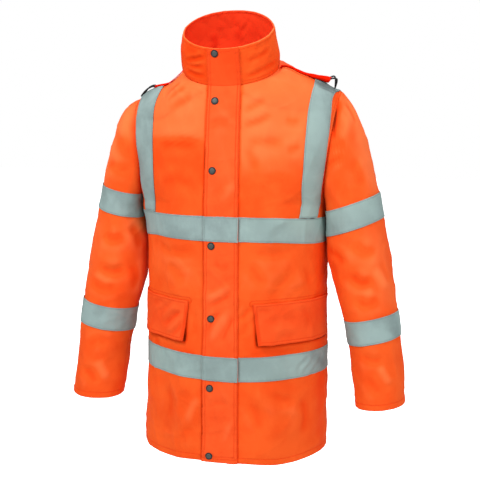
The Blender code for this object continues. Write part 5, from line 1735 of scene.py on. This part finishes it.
def storm_flap_grid():
    """Points of the front under the storm flap, from the hem to the neck seam, and their normals."""
    under = rows_at(FRONT, HEIGHTS)
    rows = np.concatenate([under, np.linspace(under[-1], 9.9, 66)[1:]])
    level = panel_levels(FRONT, rows)
    xs = flap_lines(level[:, 2])
    turn, edge_x = level[:, 6:7], level[:, 3:4]
    shares = np.arcsin(np.abs(xs) * np.sin(turn) / edge_x) / turn
    points = np.stack([panel_points(FRONT, rows[k : k + 1], shares[k])[0] for k in range(len(rows))])
    points[..., 0] = xs
    top = flap_lines(np.array([-NECK_TILT]))[0]
    neck = neck_point(np.degrees(np.arcsin(top / NECK_HALF_WIDTH)))
    neck[:, 2] -= FLAP_BUTT
    points = np.concatenate([points, (points[-1:] + neck) / 2, neck[None]])
    points = folded(points, normals_of(points))
    normals = normals_of(points)
    moved = creased(points, "body") + creased(points, "flap")
    moved += undulation(points, 5) + crumple(points, 6)
    moved *= eased(to_line(points, neck)[0], 0.0, 0.016)
    points = points + (bpy.context.scene.jacket_cloth.creasing * moved)[..., None] * normals
    return points, normals_of(points)


def flap_piece(node, points, normals, lift, edges, row_off, key):
    """A flap. Its edges are the free one, the sewn one along which it lies down flat, an open end and
    the end that butts on the next piece; `row_off` is how far in the open end's stitches start."""
    free, sewn = [(line, 0.0) for line in edges[:-1]], [(edges[-1], 0.0003)]
    seams = [(edges[0], 0.0), (edges[1], 0.0), (edges[2], row_off)]
    lift = lift - (lift - SEAM_GAP) * (1 - eased(to_line(points, edges[1])[0], 0.0, 0.009))
    # painted light and shade from the listed patches and from the creases' ridges and troughs
    tone = toned(points, "flap", key) + crease_shading(points, "flap")
    grid = sheet_grid(points, normals, FLAP_WALL, lift, free=free, sewn=sewn, seams=seams, tone=tone)
    for line in edges[:2]:
        waves = puckers(*to_line(points, line), 41, wave=0.015, height=0.0005, reach=0.011)
        grid["outer"] += waves[..., None] * normals
    thing = shell(node + "_cloth", [grid], [coated_cloth("orange_flap_cloth")])
    declare(thing, points, node)


def build_flaps():
    """The storm flap down the front, its two bands, and its part on the collar."""
    points, normals = storm_flap_grid()
    edges = [points[:, 0], points[:, -1], points[0], points[-1]]
    flap_piece("storm_flap", points, normals, FLAP_LIFT, edges, HEM_STITCHES, "flap")
    for level, top in BODY_TAPES:
        band, out = cloth_at(points, normals, tape_rows(top), np.arange(points.shape[1]))
        tape(f"{level}_tape_flap", band, out, FLAP_LIFT + FLAP_WALL + SEAM_GAP)
    points, normals = collar_flap_grid()
    edges = [points[:, 0], points[:, -1], points[-1], points[0]]
    flap_piece("collar_flap", points, normals, COLLAR_FLAP_LIFT, edges, 0.0, "collar_flap")


def collar_flap_grid():
    """Points of the collar under its flap, from just over the neck seam to just under the rim."""
    xs = FLAP_FREE_TOP + (FLAP_SEWN_EDGE - FLAP_FREE_TOP) * FLAP_SHARES
    turns = np.degrees(np.arcsin(xs / NECK_HALF_WIDTH))
    levels = np.array([0.012, 0.03, 0.06, *np.linspace(0.15, 2.9, 28), 2.94, 2.975, 2.99])
    points = collar_points(turns, levels)
    return points, normals_of(points)


def build_pockets():
    """Wide flaps that flare a little towards their free lower edge, most at the inner end."""
    made = jacket()
    down = steps(31, 0.008, 0.02)[::-1]
    rows = number_at(POCKET_TOP - POCKET_DROP * down, HEIGHTS)[:, None]
    shares = steps(61, 0.004, 0.009)
    low = down[:, None]
    for side, right in SIDES:
        grid = made.front[side]
        start = number_at(pocket_inner(down), grid[int(rows[0, 0]), :, 0])[:, None]
        columns = start + (number_at(POCKET_OUTER_SHARE, SHARES) - start) * shares
        points, out = cloth_at(grid, made.front_n[side], rows, columns)
        true = points * FLIP[side]
        wave = 0.0007 * np.sin(shares * 9.0 + (2.0 if right else 0.5)) * low**2 * (1 - shares**4)
        flare = POCKET_FLARE * low**2 * (1 - 0.9 * eased(shares, 0.45, 0.95))
        wrinkles = 1.4 * eased(low, 0.0, 0.25) * creased(true, "pocket")
        lift = POCKET_LIFT + flare + wave + wrinkles - 0.0008 * eased(shares, 0.5, 0.9)
        top, bottom, inner, outer = points[-1], points[0], points[:, 0], points[:, -1]
        free = [(line, 0.0) for line in (bottom, top, inner, outer)]
        seams = [(bottom, 0.0), (inner, 0.0), (outer, 0.0), (top, -0.002)]
        # painted light and shade from the listed patches and from the creases' ridges and troughs
        tone = toned(true, "pocket") + 0.5 * crease_shading(true, "pocket")
        # painted shade along the flap's inner end, whose lifted side lies in shade
        tone = tone - 1.3 * bell(shares, 0.02) * eased(low, 0.0, 0.3)
        sheet = sheet_grid(points, out, POCKET_FLAP_WALL, lift, free=free, seams=seams, tone=tone)
        name = f"pocket_flap_{side}"
        thing = shell(name + "_cloth", [sheet], [coated_cloth("orange_flap_cloth")], right)
        declare(thing, points, name)


SNAP_PROFILE = (
    # radius and height, as shares of the snap's, from the middle of its foot to the top
    (0.00, 0.00), (0.99, 0.00), (1.00, 0.18), (0.97, 0.40), (0.90, 0.52), (0.82, 0.50), (0.76, 0.34),
    (0.71, 0.34), (0.67, 0.62), (0.60, 0.84), (0.45, 0.96), (0.25, 1.00), (0.00, 1.00),
)


def add_snap(name, points, normals, height, lift):
    """A snap on a flap's outer face, a set way in from its free edge: a profile turned about an axis."""
    row = number_at(height, points[:, 2, 2])
    line = points[int(row)]
    column = number_at(line[0, 0] + SNAP_FROM_EDGE, line[:, 0])
    centre, axis = cloth_at(points, normals, np.array(row), np.array(column))
    centre = centre + (lift + FLAP_WALL + SEAM_GAP) * axis
    side = unit(np.cross(axis, (0.0, 0.0, 1.0)))
    other = np.cross(axis, side)
    radii, heights = read_finely(SNAP_PROFILE, 4).T[:, :, None, None]
    radii, heights = np.clip(radii, 0.0, 1.0) * SNAP_RADIUS, np.clip(heights, 0.0, 1.0) * SNAP_HEIGHT
    angles = np.linspace(0.0, 2 * np.pi, 48, endpoint=False)[None, :, None]
    rings = centre + radii * (np.cos(angles) * side + np.sin(angles) * other) + heights * axis
    # painted shade on the cap's outer ring
    ring = eased(radii[:, :, 0] / SNAP_RADIUS, 0.70, 0.86)
    thing = surface(name + "_cap", rings, [snap_metal("snap_gunmetal")], tone=ring)
    enter(thing, name)


def build_snaps():
    """The first snap is on the collar's flap, at a share of its height, and the others on the storm flap."""
    coarse = collar_points(np.array([0.0]), np.linspace(0.09, 2.99, 7))[:, 0, 2]
    height = np.interp(COLLAR_SNAP_SHARE * 6, np.arange(7), coarse)
    add_snap("snap_1", *collar_flap_grid(), height, COLLAR_FLAP_LIFT)
    flap = storm_flap_grid()
    for number, drop in enumerate(SNAP_DROPS, start=2):
        add_snap(f"snap_{number}", *flap, -drop, FLAP_LIFT)


STRAP_LINES = 7  # lines along a strap's base on either side of the shoulder seam, with the seam itself


def rounded(values, power):
    """Sines or cosines made blunter by a power below 1, for a flattened round."""
    return np.sign(values) * np.abs(values) ** power


def strap_base(made, side, along, reaches):
    """The cloth under a strap: at columns `along` it reaches from down the front over the shoulder
    seam to down the back, and `reaches` holds how far."""
    off = np.linspace(0.0, 3.0 * ROW_SPLIT, 46)
    parts = np.linspace(1.0, 0.0, STRAP_LINES)[:-1], np.linspace(0.0, 1.0, STRAP_LINES)
    lines, outs = [], []
    for (grid, normals), reach, shares in zip(made.halves(side), reaches, parts):
        last = grid.shape[0] - 1.0
        run = runs(on_grid(grid, last - off[:, None], along[None]), 0)
        for share in shares:
            rows = last - np.array([np.interp(share * reach[k], run[:, k], off) for k in range(len(along))])
            lines.append(on_grid(grid, rows, along))
            outs.append(on_grid(normals, rows, along))
    return np.stack(lines, axis=1), unit(np.stack(outs, axis=1))


def build_straps():
    """Hollow flattened tubes along the shoulder seams, thin where they are sewn and open at the end."""
    made = jacket()
    t = np.unique(np.concatenate([np.linspace(0.0, 1.0, 34), [0.985, 0.995]]))
    angles = np.linspace(0.0, 2 * np.pi, 56, endpoint=False)
    across, rise = rounded(np.cos(angles), 0.55), rounded(np.sin(angles), 0.8)
    for side, right in SIDES:
        share_end, end_lift, mouth, wall, front_start, front_end = STRAPS[side]
        along = number_at(STRAP_START + (share_end - STRAP_START) * t, SHARES)
        reaches = front_start + (front_end - front_start) * t, np.interp(t, (0.0, 0.5), STRAP_BACK[side])
        base, out = strap_base(made, side, along, reaches)
        last = base.shape[1] - 1
        numbers = np.arange(len(t))[:, None]
        centre, out = cloth_at(base, out, numbers, ((across + 1) / 2 * last)[None])
        half = ((wall + (mouth - wall) * t**3) / 2)[:, None]
        middle = (STRAP_LIFT + end_lift * t**3)[:, None] + half
        outer = centre + (middle + half * rise)[..., None] * out
        inner_centre = on_grid(base, numbers, ((across * STRAP_INSIDE_SHARE + 1) / 2 * last)[None])
        inner = inner_centre + (middle + (half - STRAP_CLOTH) * rise)[..., None] * out
        place_on = metres_map(columns_again(outer))
        grid = {
            "outer": outer,
            "inner": inner,
            "tone": np.zeros(outer.shape[:2]),
            "Cloth": place_on,
            "Stitch": np.ones(place_on.shape),
        }
        name = f"shoulder_strap_{side}"
        thing = shell(name + "_cloth", [grid], lined("orange_strap_cloth"), right, closed=True)
        declare(thing, outer, name, True)


def build_loops():
    """A cord loop from each strap's end to the armhole: out along the front, back along the back."""
    made = jacket()
    angles = np.linspace(0.0, 2 * np.pi, 20, endpoint=False)[None, :, None]
    for side, right in SIDES:
        shares, off, lift = read_finely(np.array(LOOPS[side]), 8).T
        strands = []
        for grid, normals in made.halves(side):
            rows = grid.shape[0] - 1.0 - off * ROW_SPLIT
            under, out = cloth_at(grid, normals, rows, number_at(shares, SHARES))
            strands.append((under + lift[:, None] * out, out))
        points, out = (np.concatenate([front[::-1], back[1:]]) for front, back in zip(*strands))
        along = unit(np.gradient(points, axis=0))
        side_way = unit(np.cross(along, out))
        other = np.cross(along, side_way)
        radius = np.full(len(points) + 2, LOOP_DIAMETER / 2)
        radius[[0, -1]] = CORD_END_RADIUS
        axes = (np.concatenate([v[:1], v, v[-1:]])[:, None] for v in (points, side_way, other))
        points, side_way, other = axes
        rings = points + radius[:, None, None] * (np.cos(angles) * side_way + np.sin(angles) * other)
        name = f"strap_loop_{side}"
        thing = surface(name + "_cord", rings, [loop_cord("braided_cord")], right)
        enter(thing, name)


# --- stage -------------------------------------------------------------------------------------

CAMERA_AZIMUTH = math.radians(14.0)
CAMERA_ELEVATION = math.radians(9.5)
CAMERA_DISTANCE = 2.5
CAMERA_TARGET = (0.0035, 0.055, -0.357)
FLOOR_HEIGHT = -1.25
FLOOR_REACH = 9.0
LIGHT_TARGET = (0.0, 0.05, -0.35)
LIGHTS = (
    # name, where it stands, its size, its power as a share of the key light's
    ("key", (-1.0, -1.7, 1.7), 0.9, 1.0),
    ("fill", (1.6, -1.5, 1.2), 1.0, 0.60),
    ("back", (0.3, 1.9, 2.1), 1.4, 0.70),
)


def look_at(thing, place_from, target):
    """Stands a light or a camera at one place, pointing at another."""
    thing.location = place_from
    way = mathutils.Vector(target) - mathutils.Vector(place_from)
    thing.rotation_euler = way.to_track_quat("-Z", "Y").to_euler()


def build_stage():
    """A white surround, a pale floor that looks white, three lights and the camera."""
    scene = bpy.context.scene
    settings = scene.jacket_stage
    scene.view_settings.view_transform = "Standard"
    world = bpy.data.worlds.new("Studio")
    world.use_nodes = True
    backdrop = world.node_tree.nodes["Background"]
    backdrop.inputs["Color"].default_value = (1.0, 1.0, 1.0, 1.0)
    seen = add(world.node_tree, "ShaderNodeLightPath").outputs["Is Camera Ray"]
    strength = ramp(world.node_tree, seen, 0.0, 1.0, settings.surround)
    world.node_tree.links.new(strength, backdrop.inputs["Strength"])
    scene.world = world
    mesh = bpy.data.meshes.new("studio_floor")
    corners = [(x * FLOOR_REACH, y * FLOOR_REACH, 0.0) for x, y in ((-1, -1), (1, -1), (1, 1), (-1, 1))]
    mesh.from_pydata(corners, [], [(0, 1, 2, 3)])
    floor = bpy.data.objects.new("studio_floor", mesh)
    floor.location.z = FLOOR_HEIGHT
    finish, tree, shader = new_material("studio_floor")
    shader.inputs["Base Color"].default_value = (0.80, 0.80, 0.80, 1.0)
    shader.inputs["Roughness"].default_value = 0.9
    shader.inputs["Specular IOR Level"].default_value = 0.0
    shader.inputs["Emission Color"].default_value = (1.0, 1.0, 1.0, 1.0)
    seen = add(tree, "ShaderNodeLightPath").outputs["Is Camera Ray"]
    tree.links.new(seen, shader.inputs["Emission Strength"])
    mesh.materials.append(finish)
    scene.collection.objects.link(floor)
    for name, where, size, share in LIGHTS:
        light = bpy.data.lights.new(name, "AREA")
        light.size = size
        light.energy = settings.key * share
        thing = bpy.data.objects.new(name, light)
        look_at(thing, where, LIGHT_TARGET)
        scene.collection.objects.link(thing)
    camera = bpy.data.cameras.new("camera")
    camera.lens = settings.lens
    thing = bpy.data.objects.new("camera", camera)
    level = math.cos(CAMERA_ELEVATION)
    way = (math.sin(CAMERA_AZIMUTH) * level, -math.cos(CAMERA_AZIMUTH) * level, math.sin(CAMERA_ELEVATION))
    look_at(thing, [t + CAMERA_DISTANCE * w for t, w in zip(CAMERA_TARGET, way)], CAMERA_TARGET)
    scene.collection.objects.link(thing)
    scene.camera = thing


# --- add-on ------------------------------------------------------------------------------------


class JacketCloth(bpy.types.PropertyGroup):
    """How the cloth is creased."""

    creasing: bpy.props.FloatProperty(
        name="Creasing", description="Strength of creases and unevenness", default=1.6, min=0.0, max=2.0
    )


class JacketStage(bpy.types.PropertyGroup):
    """The surround, the lights and the camera's lens."""

    surround: bpy.props.FloatProperty(
        name="Surround", description="How strongly the white surround lights the jacket", default=0.55
    )
    key: bpy.props.FloatProperty(
        name="Key light", description="Power of the main light", default=60.0, unit="POWER"
    )
    lens: bpy.props.FloatProperty(name="Lens", description="Focal length in millimetres", default=89.9)


def operator(key, label, text, build):
    """An operator that runs one build function."""

    def execute(self, context):
        build()
        return {"FINISHED"}

    return type(
        f"JACKET_OT_{key}",
        (bpy.types.Operator,),
        {"bl_idname": f"jacket.{key}", "bl_label": label, "__doc__": text, "execute": execute},
    )


OPERATORS = (
    operator("fronts", "Fronts", "Build the two front panels", build_fronts),
    operator("back", "Back", "Build the back panel", build_back),
    operator("sleeves", "Sleeves", "Build both sleeves", build_sleeves),
    operator("collar", "Collar", "Build the stand collar", build_collar),
    operator("body_tapes", "Body tapes", "Build the bands round the body", build_body_tapes),
    operator("shoulder_tapes", "Shoulder tapes", "Build the bands over the shoulders", build_shoulder_tapes),
    operator("sleeve_tapes", "Sleeve tapes", "Build the bands round the sleeves", build_sleeve_tapes),
    operator("flaps", "Storm flap", "Build the storm flap, its bands and the collar's flap", build_flaps),
    operator("pockets", "Pocket flaps", "Build both pocket flaps", build_pockets),
    operator("snaps", "Snaps", "Build the seven snap caps", build_snaps),
    operator("straps", "Shoulder straps", "Build the straps on the shoulders", build_straps),
    operator("loops", "Cord loops", "Build the cord loops at the straps' ends", build_loops),
    operator("stage", "Stage", "Build floor, lights and camera", build_stage),
)


class JACKET_PT_pieces(bpy.types.Panel):
    """Buttons for each piece of the jacket and for its stage."""

    bl_label = "Jacket"
    bl_space_type = "VIEW_3D"
    bl_region_type = "UI"
    bl_category = "Jacket"

    def draw(self, context):
        self.layout.prop(context.scene.jacket_cloth, "creasing")
        for made in OPERATORS:
            self.layout.operator(made.bl_idname)
        for name in ("surround", "key", "lens"):
            self.layout.prop(context.scene.jacket_stage, name)


CLASSES = (JacketCloth, JacketStage, *OPERATORS, JACKET_PT_pieces)


def register():
    """Registers the classes and hangs the two groups of settings on the scene."""
    for made in CLASSES:
        bpy.utils.register_class(made)
    bpy.types.Scene.jacket_cloth = bpy.props.PointerProperty(type=JacketCloth)
    bpy.types.Scene.jacket_stage = bpy.props.PointerProperty(type=JacketStage)


def unregister():
    """Takes back what register() did."""
    del bpy.types.Scene.jacket_cloth
    del bpy.types.Scene.jacket_stage
    for made in reversed(CLASSES):
        bpy.utils.unregister_class(made)


def main():
    """Builds every piece through its operator and notes the frame's and the scene's sizes."""
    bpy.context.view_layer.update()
    register()
    for made in OPERATORS:
        getattr(bpy.ops.jacket, made.bl_idname.split(".")[1])()


if __name__ == "__main__":
    main()
